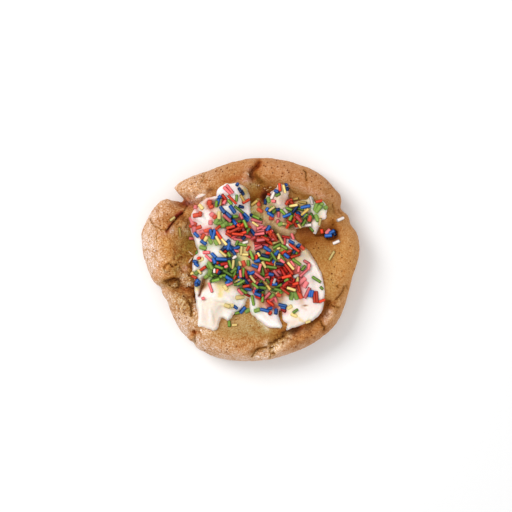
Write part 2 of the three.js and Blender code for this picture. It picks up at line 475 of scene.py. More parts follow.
def crustMaterial():
    material, tree, shader = startMaterial("baked crust", Specular_IOR_Level=0.06)
    place = put(tree, "ShaderNodeTexCoord").outputs["Object"]
    colour = painted(tree, "crustColour")
    greasy, crumbly, speckled = parts(tree, painted(tree, "crustMasks"))
    grain = useGroup(tree, grainGroup, {"Broad Size": 0.0022, "Fine Size": 0.00068})
    broad, fine = grain.outputs["Broad"], grain.outputs["Fine"]
    # darker grains are browner too, so green and blue fall faster than red
    fleck = sums(tree, "MULTIPLY", spread(tree, fine, 0.3, 0.7, -0.34, 0.34), speckled)
    light = sums(tree, "ADD", spread(tree, broad, 0.3, 0.7, 0.95, 1.05), fleck)
    green, blue = sums(tree, "POWER", light, 2.1), sums(tree, "POWER", light, 3.8)
    warmth = put(tree, "ShaderNodeCombineColor", {0: light, 1: green, 2: blue}).outputs[0]
    colour = mixColours(tree, 1, colour, warmth, "MULTIPLY")
    # brown freckles, close together where the dough is speckled
    freckle = sums(tree, "MULTIPLY_ADD", speckled, 0.1, noise(tree, place, 1800, 2, 0.6))
    freckle = spread(tree, freckle, 0.6, 0.71, 0, 0.7)
    colour = mixColours(tree, freckle, colour, (0.82, 0.6, 0.36, 1), "MULTIPLY")
    speck = spread(tree, noise(tree, place, 2100, 2, 0.7), 0.56, 0.7, 0, 0.8)
    colour = mixColours(tree, speck, colour, (0.78, 0.56, 0.36, 1), "MULTIPLY")
    # cracks and pores, from how far away the nearest ones are
    crackAway, poreAway, crackDark = parts(tree, painted(tree, "crustLines"))
    ragged = sums(tree, "MULTIPLY_ADD", fine, 4.4, -2.2)
    crack = spread(tree, sums(tree, "ADD", crackAway, ragged), 1.5, 0.7)
    crack = sums(tree, "MULTIPLY", crack, crackDark)
    crack = sums(tree, "MULTIPLY", crack, spread(tree, freckle, 0, 0.3, 0.55, 1))
    colour = mixColours(tree, crack, colour, (0.28, 0.1, 0.05, 1), "MULTIPLY")
    # small dark pores, each cell keeping or losing its own
    pore = spread(tree, poreAway, 1.25, 0.75)
    for scale, rare, wide in ((480, 0.72, 0.2), (1000, 0.8, 0.36)):
        cells = cellsOf(tree, place, scale)
        size = spread(tree, parts(tree, cells["Color"])[0], rare, 1, 0, wide)
        dot = spread(tree, sums(tree, "SUBTRACT", size, cells["Distance"]), 0, 0.14)
        pore = sums(tree, "ADD", pore, dot)
    colour = mixColours(tree, pore, colour, (0.46, 0.24, 0.12, 1), "MULTIPLY")
    # torn crumb: light and dark grains
    grains = parts(tree, cellsOf(tree, place, 1100)["Color"])[1]
    clumps = noise(tree, place, 520, 4, 0.65)
    pale = sums(tree, "ADD", spread(tree, grains, 0.5, 0.9, 0, 0.4),
                spread(tree, clumps, 0.46, 0.36, 0, 0.35))
    dark = sums(tree, "ADD", spread(tree, grains, 0.3, 0.05, 0, 0.35),
                spread(tree, clumps, 0.53, 0.63, 0, 0.75))
    pale, dark = sums(tree, "MULTIPLY", crumbly, pale), sums(tree, "MULTIPLY", crumbly, dark)
    colour = mixColours(tree, pale, colour, (1.7, 2, 2.4, 1), "MULTIPLY")
    colour = mixColours(tree, dark, colour, (0.46, 0.27, 0.14, 1), "MULTIPLY")
    shine = sums(tree, "MULTIPLY", greasy, 0.28)
    roughness = sums(tree, "SUBTRACT", spread(tree, fine, 0.3, 0.7, 0.58, 0.78), shine)
    hollows = sums(tree, "MULTIPLY", sums(tree, "ADD", pore, crack), 0.7)
    height = sums(tree, "SUBTRACT", grain.outputs["Height"], hollows)
    finishMaterial(tree, shader, colour, roughness, height, 0.00042)
    return material


def cloudyColour(tree, grain, broadLight, fineLight):
    # The painted colour of the icing, lighter and darker from place to place.
    light = sums(tree, "ADD", spread(tree, grain.outputs["Broad"], 0.3, 0.7, *broadLight),
                 spread(tree, grain.outputs["Fine"], 0.3, 0.7, *fineLight))
    return shaded(tree, painted(tree, "icingColour"), light)


def icingMaterial():
    material, tree, shader = startMaterial("whipped icing", Specular_IOR_Level=0.45,
                                           Subsurface_Weight=0.2, Subsurface_Scale=0.0015)
    grain = useGroup(tree, grainGroup, {"Broad Size": 0.0045, "Fine Size": 0.0008})
    colour = cloudyColour(tree, grain, (0.95, 1), (-0.04, 0.02))
    roughness = spread(tree, grain.outputs["Broad"], 0.3, 0.7, 0.4, 0.6)
    finishMaterial(tree, shader, colour, roughness, grain.outputs["Height"], 0.00025)
    return material


def glazeMaterial():
    material, tree, shader = startMaterial("melted icing", Specular_IOR_Level=0.5, Coat_Weight=0.25,
                                           Coat_Roughness=0.2, Subsurface_Weight=0.15,
                                           Subsurface_Scale=0.001)
    grain = useGroup(tree, grainGroup, {"Broad Size": 0.0028, "Fine Size": 0.0006})
    colour = cloudyColour(tree, grain, (0.8, 1.12), (-0.16, 0.14))
    roughness = spread(tree, grain.outputs["Fine"], 0.3, 0.7, 0.3, 0.5)
    finishMaterial(tree, shader, colour, roughness, grain.outputs["Height"], 0.0006)
    return material


def sugarMaterial(colour):
    material, tree, shader = startMaterial(colour + " sugar", Specular_IOR_Level=0.22,
                                           Subsurface_Weight=0.04, Subsurface_Scale=0.0006)
    bright, deep, run = (rgba(tone) for tone in sugarTones[colour])
    skin = useGroup(tree, sugarGroup, {"Bright": bright, "Deep": deep, "Run": run}).outputs
    finishMaterial(tree, shader, skin["Color"], skin["Roughness"], skin["Height"], 0.00012)
    return material


# What the oven left on the dough.
crustDetail = {
    # rise, size, seed, detail: relief everywhere, and more of it where the dough is torn
    "relief": [(0.36, 9, 1, 2), (0.18, 3.6, 2, 1), (0.08, 1.6, 3, 1)],
    "tornRelief": [(0.18, 1.9, 6, 2), (0.18, 0.9, 7, 1)],
    "seamDeep": 0.18, "seamWide": 0.16,
    # line, half width, deep, how dark: thin cracks and folds
    "cracks": [
        ([(-27.6, 24.2), (-28.2, 22.2), (-29, 20.6)], 0.22, 0.6, 0.5),
        ([(-29.2, 20.3), (-30, 19.6), (-31.2, 18.8), (-32.4, 17.6), (-33.4, 16.4), (-34.4, 15),
          (-35.2, 13.8), (-36.2, 12.9)], 0.24, 0.9, 0.9),
        ([(-36.9, 13.2), (-38.6, 13.1), (-40, 14), (-41.5, 14.4), (-43, 16.4), (-44, 18)], 0.2, 0.3, 0.35),
        ([(-40.5, 12.6), (-41, 10.5), (-40.6, 8)], 0.2, 0.3, 0.35),
        ([(-20.2, 38), (-20.5, 35.4), (-22.6, 33)], 0.24, 0.3, 0.3),
        ([(23.5, 39.5), (24.4, 38.4), (24.8, 37), (24.4, 36), (25, 34.8)], 0.2, 0.4, 0.8),
        ([(4.3, 43.4), (3.4, 41.4), (2.2, 40.2), (0.8, 39), (0.2, 37.6), (0.5, 36.6), (1.4, 35.8)],
         0.42, 0.5, 0.5),
        ([(2.2, 37.6), (2.8, 36), (3.6, 34.6), (5, 33.8)], 0.4, 0.3, 0.3),
        ([(-25.9, -19.6), (-25.4, -22), (-25.6, -24.4)], 0.3, 0.5, 0.8),
        ([(-25, -31.4), (-24.4, -33), (-24.2, -36.6)], 0.3, 0.9, 0.3),
        ([(8.6, -39), (9.1, -41), (8.8, -43.4)], 0.24, 0.4, 0.45),
        ([(9.8, -40.6), (10.6, -41.3)], 0.3, 0.3, 0.7),
        ([(15.2, -32.4), (16.8, -31.8), (18.6, -31.2), (20.4, -30.4)], 0.9, 1.2, 0.5),
        ([(26, -27.6), (29, -26), (31.5, -24.2), (33, -22.4), (33.8, -20.4), (34, -18.8)], 0.6, 0.8, 0.25),
        ([(37.4, -17.2), (38.6, -16.5), (40, -15), (40.9, -13.4), (41.2, -12)], 0.26, 0.4, 0.55),
        ([(35.6, -19.8), (37, -20.6), (38, -20.4), (39, -20.8)], 0.26, 0.3, 0.5),
        ([(37.6, -11.2), (38.4, -12), (38.2, -11)], 0.2, 0.3, 0.7),
        ([(31, -27), (31.6, -28.6), (32.6, -29.2), (32.4, -30.6)], 0.3, 0.5, 0.7),
        ([(41.2, -11.4), (42.4, -11.2), (42.8, -12.6)], 0.24, 0.3, 0.4),
        ([(36.5, 24.5), (37, 21), (38.5, 19.5)], 0.24, 0.3, 0.3),
        ([(39, 22), (40.5, 20), (41, 18)], 0.24, 0.3, 0.3),
        ([(0.8, -42.4), (2, -40.8), (3.2, -39.4), (5, -38.7), (7, -38.3)], 0.3, 0.4, 0.6),
        ([(8.9, -38.5), (10.2, -38.2)], 0.36, 0.5, 0.9),
        ([(8.6, -36.6), (10.4, -36.4), (11.6, -35.2), (13.2, -34.4), (14.6, -33.6)], 0.4, 0.6, 0.7),
        ([(-36.6, -9.8), (-35.4, -10.8), (-34.4, -12), (-33, -12.6), (-31.4, -12), (-30.6, -10.8)],
         0.32, 0.45, 0.5),
        ([(-37, -9.6), (-35, -9.2), (-33.4, -8.4), (-31.6, -8.8), (-31, -10.4)], 0.5, 0.7, 0.7),
        ([(-35.2, -1.4), (-34.5, -2.2)], 0.24, 0.4, 0.9), ([(-34.2, -2.8), (-33.2, -2.9)], 0.2, 0.3, 0.7),
        ([(-32.4, -2.1), (-31.8, -1.9)], 0.26, 0.4, 0.9), ([(-30.8, -2.8), (-29.8, -4.6)], 0.22, 0.3, 0.6),
        ([(-35.4, -1.9), (-36.6, -2), (-37.3, -3), (-37.4, -4.6), (-36.6, -5.4), (-35.2, -5)],
         0.24, 0.4, 0.4),
        ([(-27, -11.6), (-24.6, -12.4)], 0.3, 0.5, 0.8),
        ([(-26.9, -18), (-26.2, -19.2), (-25.2, -19)], 0.3, 0.4, 0.7),
        ([(-24.2, -12.6), (-23.8, -16), (-23.4, -18.6)], 0.3, 0.6, 0.7),
        ([(1, 24.2), (2.2, 25), (3.2, 26.4)], 0.3, 0.3, 0.8),
        ([(20.4, 28.6), (18, 30.2), (17.2, 31.4)], 0.22, 0.2, 0.3),
        ([(28.4, 10.8), (30, 10.6), (32.6, 11), (33.2, 10)], 0.3, 0.4, 0.9),
        ([(33.4, 9.6), (36, 9.4), (37.6, 10.4), (37.4, 12.6)], 0.5, 0.6, 0.9),
    ],
    # x, y, wide, deep, turn, rise
    "bumps": [
        (-1.9, 36.6, 1.3, 1.9, -12, 0.6), (-36.3, -3.4, 1.3, 1.3, 0, 0.9),
        (-26.6, -9.8, 1.8, 1.1, 10, 1), (-29, -6, 1.4, 1, 20, 0.5), (-32.4, -10.3, 1.2, 1, 0, 0.6),
        (-17, 30, 1.3, 1, 30, -1.2), (-24.5, -31.7, 0.9, 0.8, 0, -0.9), (-34.5, 8, 1.8, 5, 8, 0.5),
        (24, 12.8, 3.4, 1.2, 10, -1), (35.5, 11.5, 2, 1.5, 30, -0.8), (-25.3, -33.6, 1.1, 1, 0, 0.5),
        (-26, 19, 3, 2, 40, 0.5), (-31, 15, 3, 2, -30, 0.4),
    ],
    # x, y, wide, deep, turn: torn, crumbly places
    "crumbly": [
        (6, -41, 3.4, 1.8, 8), (12.5, -37, 3, 1.8, 35), (16.5, -34, 1.6, 1, 15),
        (34, -24.6, 1.6, 2, -40), (-31, -9.4, 4, 2.4, 10), (-26, -15, 2, 4, 0), (-20, -31, 3.4, 1.2, 0),
        (37.5, -19, 3, 1.6, 10), (-27, 25.5, 2.2, 1, 0), (13, -33, 2, 1.4, 20),
        (-24.4, -22.4, 0.9, 2.6, 0), (7.4, 31.6, 2, 0.9, 0), (3, 32.6, 2, 1.2, 0), (-30, 2, 3.4, 4, 0),
        (-27.4, -4, 2, 3, 0), (-29, -17, 3, 4, 10), (-24, 30, 3, 2, 20), (-29, 17, 2.6, 3, 0),
        (19, -33.6, 3, 0.8, 20), (24, -34, 4, 2, 20),
    ],
    # where dye and fat have soaked in and it shines
    "greasy": [
        (5, 30.5, 5, 3.6, 0), (25, 11, 5, 3.4, 20), (35, 12, 2.6, 2.2, 30), (-26.5, 7, 2, 5, 0),
        (0, -24, 5, 2.5, 0),
    ],
    "poreWide": 0.34,
    "pores": [
        (6, 41.6), (6.8, 41), (7.7, 43), (9.5, 40.3), (11.7, 44), (12.1, 40.8), (15, 41.2), (16.4, 39),
        (17, 38.2), (14.3, 37.7), (13.9, 36.4), (17.9, 34.6), (22.8, 37.6), (27, 34.3), (34, 33.7),
        (-24.5, 36.4), (-23.6, 34.2), (-25.4, 33.3), (-21.3, 37), (-15, 39.3), (-12.7, 39.8), (-12, 39),
        (-10, 40.5), (-17.5, 35), (-44.2, 8), (44, 6.3), (39, 3), (35.7, -6), (36.8, -3), (46, -4),
        (35.5, 2), (-28.5, -23.5), (-27.7, -25.3), (-26.8, -27), (-31, -25.5), (-29, -15.8), (-10, -39),
        (-6, -38), (-10.3, -40.3), (-11.5, -35.3), (-39, 15), (-36, 20), (-41, 4), (-35, -6), (-33, -28),
        (-20, -40), (20, -38), (27, -33), (31, 31), (36, 28), (29, 37), (10, 38),
    ],
    # where the surface is floury and full of speckles
    "speckled": [
        (-40, 0, 9, 16, 8), (-32, -26, 6, 12, 35), (-24, 35, 10, 5, 25), (-14, -38, 12, 4, 0),
        (-38, 14, 7, 8, 0),
    ],
}

crustTones = {
    "golden": (200, 146, 90), "pale": (227, 201, 182), "tan": (214, 167, 120), "honey": (208, 148, 82),
    # the darkest tone is laid only in pits and crevices, partly as painted shade
    "brown": (160, 98, 42), "dark": (96, 42, 6), "pore": (118, 54, 12), "scorch": (56, 20, 4),
    "rust": (138, 54, 12),
    "olive": (122, 94, 34), "rose": (188, 132, 96), "mint": (172, 170, 132), "peach": (216, 174, 144),
    "green": (150, 138, 82), "crumb": (242, 214, 184), "pink": (222, 168, 148),
    "umber": (112, 62, 10), "wine": (76, 8, 3), "sand": (200, 172, 128),
}

# Dark tones laid in hollows, pits, the trench and along the icing's edges are partly darker baked dough and
# partly painted shade.
# tone, share, then x, y, wide, deep, turn, or a line and its width
crustPaint = [
    ("tan", 0.1, -38, 2, 9, 16, 6), ("pale", 0.3, -31, -27, 5, 9, 38), ("tan", 0.6, -24, 35, 9, 4, 25),
    ("pale", 0.25, -24, 36, 9, 4, 25), ("tan", 0.45, -14, -40, 14, 4, 0),
    ("honey", 0.8, -35.5, 7, 2.6, 7, 8), ("honey", 0.6, -40, -7, 4, 3, 0),
    ("honey", 0.7, 43, -3, 4, 10, 5), ("brown", 0.3, 22, 33, 14, 6, -32),
    ("brown", 0.5, 27, -31, 9, 4, 30), ("brown", 0.55, -10, 38, 10, 4, 15),
    ("brown", 0.5, -29, -13, 6, 5, 0), ("brown", 0.5, -29.5, 20, 4.4, 4.4, 0),
    ("brown", 0.7, 28, 8, 7, 5, 20), ("brown", 0.4, 6, -33, 14, 3, 0), ("brown", 0.3, -24, 15, 3, 8, 0),
    ("brown", 0.5, 5, 31, 7, 4.4, 0), ("brown", 0.3, 36, 16, 3, 6, 0),
    # the dark under the patch's lower edge and in the pit below it is partly darker dough, partly painted
    # shadow of the patch
    ("dark", 0.6, 25, 12.6, 4.5, 1.8, 4), ("dark", 0.3, 27, 9.6, 5, 2, 20),
    ("dark", 0.1, 5, 31.5, 4, 3, 0), ("dark", 0.85, 35.4, 11.2, 2.2, 1.8, 30),
    ("dark", 0.35, 35.8, 15.2, 1.2, 2.2, 0), ("dark", 0.5, -17, 30, 1.6, 1.2, 30),
    ("dark", 0.3, -32, -11, 4, 1.6, 10), ("brown", 0.8, -29.6, 24.6, 2.4, 1.4, 0),
    ("rust", 0.95, -27.5, 24.9, 2.2, 1.1, 0), ("wine", 0.4, -27.6, 25.1, 1.4, 0.8, 0),
    ("rust", 0.3, -27.4, -13, 2.6, 1.5, 0), ("umber", 0.5, -27.4, -13, 2.6, 1.5, 0),
    ("dark", 0.35, -25.6, -16.5, 1.6, 3, 0), ("rust", 0.3, -22.6, 24.6, 2, 1.4, 20),
    ("olive", 0.85, -26.3, 6.8, 2, 4.4, 0), ("olive", 0.28, -29, 4, 3, 8, 0),
    ("tan", 0.5, -31.5, -19, 4, 6, 25), ("olive", 0.12, -30, -17, 3.4, 5, 20),
    ("green", 0.2, -28.5, -19, 2.4, 4, 20), ("olive", 0.35, -24, -14, 1.4, 7, 0),
    ("green", 0.5, -1, -24, 6, 3.2, 0), ("sand", 0.5, -1, -29.5, 6, 2.6, 0),
    ("green", 0.35, -4, -31, 12, 3, 0), ("green", 0.35, 9, -32, 5, 2, -20),
    ("olive", 0.75, 24.5, 28.6, 4, 1.4, -12), ("olive", 0.7, 33.8, 24, 1.8, 3.6, 10),
    ("olive", 0.25, 31, 3, 6, 5, 0), ("olive", 0.25, 20, 30.6, 6, 2, 0),
    ("olive", 0.22, 34.6, -11, 2.4, 6, 5),
    # along the lower right trench and under the icing's lower edge: dark red-brown dough, partly painted
    # shade
    ("dark", 0.6, [(34, -18.6), (33, -22.6), (29.6, -25.6), (25, -27.8)], 0.8),
    ("rust", 0.85, [(34.2, -19.6), (33.8, -22), (32.8, -23.8), (30.8, -25.2)], 0.9),
    ("brown", 0.6, [(36, -18), (34.6, -20), (31, -27.6), (32.6, -29.6)], 1.2),
    ("rust", 0.95, [(15, -32.6), (18, -31.6), (21.6, -30.2)], 1.3),
    ("wine", 0.9, [(15.4, -32.2), (18, -31.2), (21, -29.8)], 0.8),
    ("brown", 0.6, 13, -32.6, 2.6, 1.8, 20), ("brown", 0.3, 10, -36.2, 2, 1, 30),
    ("tan", 0.6, 23, -32, 2.4, 1.2, 25),
    ("dark", 0.7, [(-24, -12), (-23.8, -17), (-24.6, -20.6)], 0.8), ("brown", 0.5, 36, -19.4, 2.6, 1.4, 0),
    ("brown", 0.45, 39.4, -15, 1.2, 2.6, -35), ("crumb", 0.9, 12.4, -36.8, 3, 1.5, 42),
    ("crumb", 0.6, 10.6, -39, 1.6, 1.2, 0), ("crumb", 0.9, 15.8, -34, 2, 1.3, 30),
    ("pale", 0.6, 15.8, -34, 1.6, 1, 30), ("crumb", 0.6, 5.6, -41.6, 2.8, 1.2, 14),
    ("pale", 0.6, 34.1, -24.4, 0.8, 1.7, -35), ("crumb", 0.35, 34.6, -23.2, 0.8, 1.2, -30),
    ("crumb", 0.9, -24.2, -21.6, 0.8, 1.8, 0), ("crumb", 0.5, -20.4, -30.8, 2.4, 0.9, 0),
    ("crumb", 0.3, -26.6, -9.8, 1.8, 1, 10), ("tan", 0.4, -32.4, -10.3, 1.6, 1, 0),
    # the pale spot below the crack at the left is a painted highlight
    ("rose", 0.8, -37.8, 11.5, 1.9, 1, 0), ("pale", 0.9, -34.6, 13.2, 0.9, 1.1, -20),
    ("brown", 0.6, -34, 23, 1.4, 1.2, 0), ("brown", 0.8, -35.2, 18.2, 1.8, 1.8, 30),
    ("brown", 0.5, -40.2, 17, 0.8, 1.6, -20),
    ("brown", 0.5, [(-44.2, 18.4), (-42.6, 16.4), (-41.6, 14.8)], 0.5),
    ("brown", 0.7, -40.8, 21.6, 0.8, 0.8, 0),
    ("wine", 0.8, [(-29.8, 20.5), (-31.1, 19.7), (-32.4, 18.6)], 0.6),
    ("wine", 0.7, [(-34, 16), (-35, 14.4), (-35.8, 13), (-36.4, 12.6)], 0.4),
    # the pale spot on the lower left edge is painted light against the side's shade
    ("mint", 0.4, -27, 14.2, 1, 1.4, 0), ("pale", 0.8, -38.8, -10.9, 1.8, 1, 20),
    ("pale", 1, -24.6, -36.2, 2, 1.4, 0), ("honey", 0.8, -25.4, -33.5, 1.2, 1, 0),
    ("rust", 0.9, -24.4, -31.8, 0.9, 0.6, 0), ("honey", 0.9, -36.3, -3.4, 1.4, 1.5, 0),
    ("sand", 0.7, -28.8, 13.4, 1, 1.2, 0), ("olive", 0.5, -32.4, -4.4, 1.4, 1.4, 0),
    ("rose", 0.55, 14, 40, 12, 5, -15), ("rose", 0.4, 30, 30, 8, 8, 0),
    ("pink", 0.3, 28, 29.4, 6, 1, -20),
    ("mint", 0.9, [(2.6, -25.4), (4.6, -27.4), (7, -29.6)], 0.7),
    ("dark", 0.6, 7.4, 31.6, 2, 0.6, 0), ("sand", 0.75, 1.8, 33.3, 2.4, 1.5, -20),
    ("brown", 0.7, 25.8, 8.2, 3, 1.4, 20), ("umber", 0.5, 25.4, 8.6, 2.4, 1.1, 20),
    ("scorch", 0.15, 24.4, 13.8, 2.6, 0.7, 5), ("scorch", 0.4, 36.6, 11, 1.4, 1.6, 20),
    ("rust", 0.3, 36.6, 11, 1.4, 1.6, 20), ("scorch", 0.5, 32.6, 11.6, 1.6, 0.8, 0),
    ("umber", 0.5, 36.2, 15.6, 0.8, 1.4, 0), ("wine", 0.8, 0.3, 37.5, 0.8, 1.2, 10),
    ("rust", 0.6, 3.4, 41.7, 0.8, 1.2, -20),
    ("rust", 0.6, [(4.2, 43), (3.3, 41.4), (2.4, 40.2), (0.8, 39), (0.6, 36.8), (1.4, 35.6)], 0.9),
    ("umber", 0.4, [(2.2, 38), (2.8, 36), (3.6, 34.6), (5, 33.8)], 1),
    ("peach", 0.95, -2, 36.8, 1.5, 2.1, -12), ("pink", 0.7, -2.4, 35, 2.2, 0.8, -10),
    # the rust line along the top of the icing knob is a painted shadow
    ("brown", 0.8, -3.8, 37.4, 1, 2.6, -20), ("rust", 0.4, -7, 35.2, 4, 0.9, 12),
    ("olive", 0.25, 1.4, 31, 1.6, 2.6, 0), ("umber", 0.5, 6.6, 30.4, 3, 1.8, 15),
    ("wine", 0.9, 6.5, 28, 1, 1.5, -15), ("scorch", 0.95, 6.4, 27.8, 1, 1.5, -10),
    ("umber", 0.7, 2.4, 27, 2, 1.2, 20),
    ("umber", 0.25, [(12.8, -22.4), (13.4, -25.4), (15.4, -28.6), (15.6, -31)], 0.9),
    ("umber", 0.4, 13, -33, 2, 2, 0), ("umber", 0.25, 10.4, -35.6, 1.6, 1.4, 30),
    ("umber", 0.4, 3.4, -39.4, 2.4, 0.5, 20), ("crumb", 0.7, 7, -36.8, 1, 1, 0),
    ("crumb", 0.5, [(4.6, -27), (6, -28.6), (7.4, -29.6)], 0.5),
    ("peach", 0.6, 33.3, -26.6, 0.6, 0.9, 0), ("dark", 0.5, -26.4, 25.6, 1.4, 0.5, 10),
    ("umber", 0.7, -33.6, -8.9, 3.2, 1.3, 12), ("umber", 0.7, -31.2, -9.8, 1, 1.8, 0),
    ("scorch", 0.3, -33.4, -8.5, 1.6, 0.6, 10),
    ("umber", 0.95, [(-32, -8.2), (-30.4, -7.2)], 0.8), ("sand", 0.7, -34.6, -11.6, 1.2, 0.7, 0),
    ("sand", 0.6, -32.6, -11, 1, 0.8, 0),
    ("rust", 0.4, -28.2, -12.8, 2, 1.3, -20), ("rust", 0.5, [(-26, -12), (-24.4, -11)], 0.5),
    ("sand", 0.4, -28.6, -7.6, 1.6, 1.8, 30), ("sand", 0.3, -27, -10, 1.4, 0.9, 0),
    ("crumb", 0.4, -29.4, -8.2, 0.7, 1.6, -25), ("crumb", 0.5, -26.8, -10.6, 0.8, 0.4, -20),
    ("pink", 0.5, -28.2, -3.6, 1.8, 1, 10), ("brown", 0.8, -25.8, -3.4, 1.2, 2.6, 0),
    ("dark", 0.4, -28.6, 2.4, 2.4, 0.5, 40), ("brown", 0.4, -33.6, 3, 1.2, 1.6, 0),
    ("olive", 0.3, -31, 2, 0.9, 1.6, -30), ("honey", 0.9, -36.3, -3.4, 1.7, 1.8, 0),
    ("crumb", 0.9, -36.9, -5, 0.7, 0.45, 0),
    ("brown", 0.6, [(-37.4, -5.4), (-36, -5.9), (-34.9, -4.6), (-34.9, -2.2)], 0.35),
    ("brown", 0.6, [(-37.6, -4), (-37.2, -2.4), (-36, -1.8)], 0.35),
    # the umber line hugging the icing's left edge is partly dough colour, partly painted shadow of the
    # icing
    ("umber", 0.6, [(-25.4, 1.5), (-25.6, -2), (-25.5, -5), (-25.8, -8)], 0.7),
    ("brown", 0.5, 22, -34.6, 4, 2.6, 20), ("olive", 0.5, 24.4, 27.6, 2.6, 0.8, -10),
    ("rust", 0.2, 23.4, 28.2, 2.4, 0.7, -8), ("tan", 0.4, 8.6, -23.6, 1, 1, 0),
    ("pale", 0.45, -22.4, 27.4, 3, 1.6, 25),
]


def stain(colour, tone, share):
    # Takes a colour part of the way to a tone by multiplying, as a stain does.
    return colour * (screenColour(tone) / colour) ** share


def paintSpots(colour, x, y, layers, tones):
    # Lays spots and lines of colour over one another, in the order of the list.
    for tone, share, *spot in layers:
        near = bell(lineDistance(spot[0], x, y) / spot[1]) if len(spot) == 2 else spotAt(x, y, spot)
        near = (share * near)[:, None]
        if max(tones[tone]) < 140:     # dark tones, stains and painted shade alike, multiply what is under them
            colour = stain(colour, tones[tone], near)
        else:
            colour = blend(colour, screenColour(tones[tone]), near)
    return colour


def paintedSideLight(angle, inset):
    # Painted light on the side: most at the left, where the light falls, and some along the bottom rim.
    left = bell(turnFrom(angle, 194) / 38) * (1 - smooth(2, 13, inset))
    low = 0.6 * bell(turnFrom(angle, 266) / 36) * (1 - smooth(0.5, 6, inset))
    return np.clip(left + low, 0, 0.95)[:, None]


def makeCrust():
    form = lathe(doughProfile(), dough["around"])
    nominal = coordsOf(form)
    x, y, inset = moveOut(dough, nominal)
    upper = nominal[:, 2] > dough["waist"] + 1e-3
    z = np.where(upper, crustHeight(x, y), nominal[:, 2])
    setCoords(form, np.stack([x, y, z], axis=1))
    points = coordsOf(form)
    upness = smooth(0.3, 3, points[:, 2])
    wander = 0.45 * np.stack([lumps(points, 1.8, 8, 3), lumps(points, 1.8, 9, 3)])
    px, py = x + wander[0], y + wander[1]

    greasy, crumbly, speckled = (sum(spotAt(px, py, spot) for spot in crustDetail[name])
                                 for name in ("greasy", "crumbly", "speckled"))
    greasy, crumbly, speckled = np.clip([greasy, crumbly, 0.6 + 0.5 * speckled], 0, 1)
    relief = unevenness(points, crustDetail["relief"])
    seams = abs(lumps(points, 6.5, 12, 3))     # a net of shallow creases
    seams = 1 - smooth(0, crustDetail["seamWide"], seams)
    seams = seams * smooth(0.1, 0.6, lumps(points, 12, 13) + speckled - 0.25)
    relief -= crustDetail["seamDeep"] * seams
    relief += 0.08 * lumps(points, 0.9, 4) + crumbly * unevenness(points, crustDetail["tornRelief"])
    relief += moundsAt(x, y, crustDetail["bumps"])
    torn, lines = np.zeros(len(points)), np.tile([4.0, 4.0, 0.0], (len(points), 1))
    for line, wide, deep, dark in crustDetail["cracks"]:
        away = lineDistance(line, blend(x, px, 0.3), blend(y, py, 0.3)) / wide
        relief -= deep * bell(away)
        torn = np.maximum(torn, bell(away / 1.6) * dark)
        nearer = away < lines[:, 0]
        lines[nearer, 0], lines[nearer, 2] = away[nearer], dark
    for poreX, poreY in crustDetail["pores"]:
        away = np.hypot(x - poreX, y - poreY) / crustDetail["poreWide"]
        lines[:, 1] = np.minimum(lines[:, 1], away)
    setCoords(form, points + normalsOf(form) * (relief * upness)[:, None])

    golden = screenColour(crustTones["golden"])
    colour = np.tile(golden, (len(points), 1))
    # painted light: paler on the left side and along the bottom rim
    colour = blend(colour, screenColour(crustTones["pale"]), paintedSideLight(angleOf(x, y), inset))
    colour = paintSpots(colour, px, py, crustPaint, crustTones)
    colour *= np.minimum(colour[:, :1] / golden[0], 1) ** (0, 0.02, 0.1)     # darker is browner
    colour = stain(colour, crustTones["pore"], (0.22 * seams)[:, None])
    colour = stain(colour, crustTones["umber"], (0.5 * torn)[:, None])
    masks = {"crustColour": colour, "crustLines": lines,
             "crustMasks": np.stack([greasy, crumbly, speckled], axis=1)}
    piece = finishPiece("crust", form, masks, "cookie")
    piece.data.materials.append(crustStuff)
    return piece


# One sugar strand, and how stout the strands of each colour are.
strand = {
    "radius": 0.74, "sides": 8, "endRound": 0.22, "sink": 0.38, "highest": 21.7, "bleedReach": 1.3,
    "softSink": 0.96, "softWide": 1.4, "softFlat": 0.45, "hiddenRise": 3, "hiddenTop": 19.4,
}
stout = {"red": 0.92, "pink": 0.96, "green": 0.92, "blue": 1.08, "yellow": 0.9, "white": 0.92}
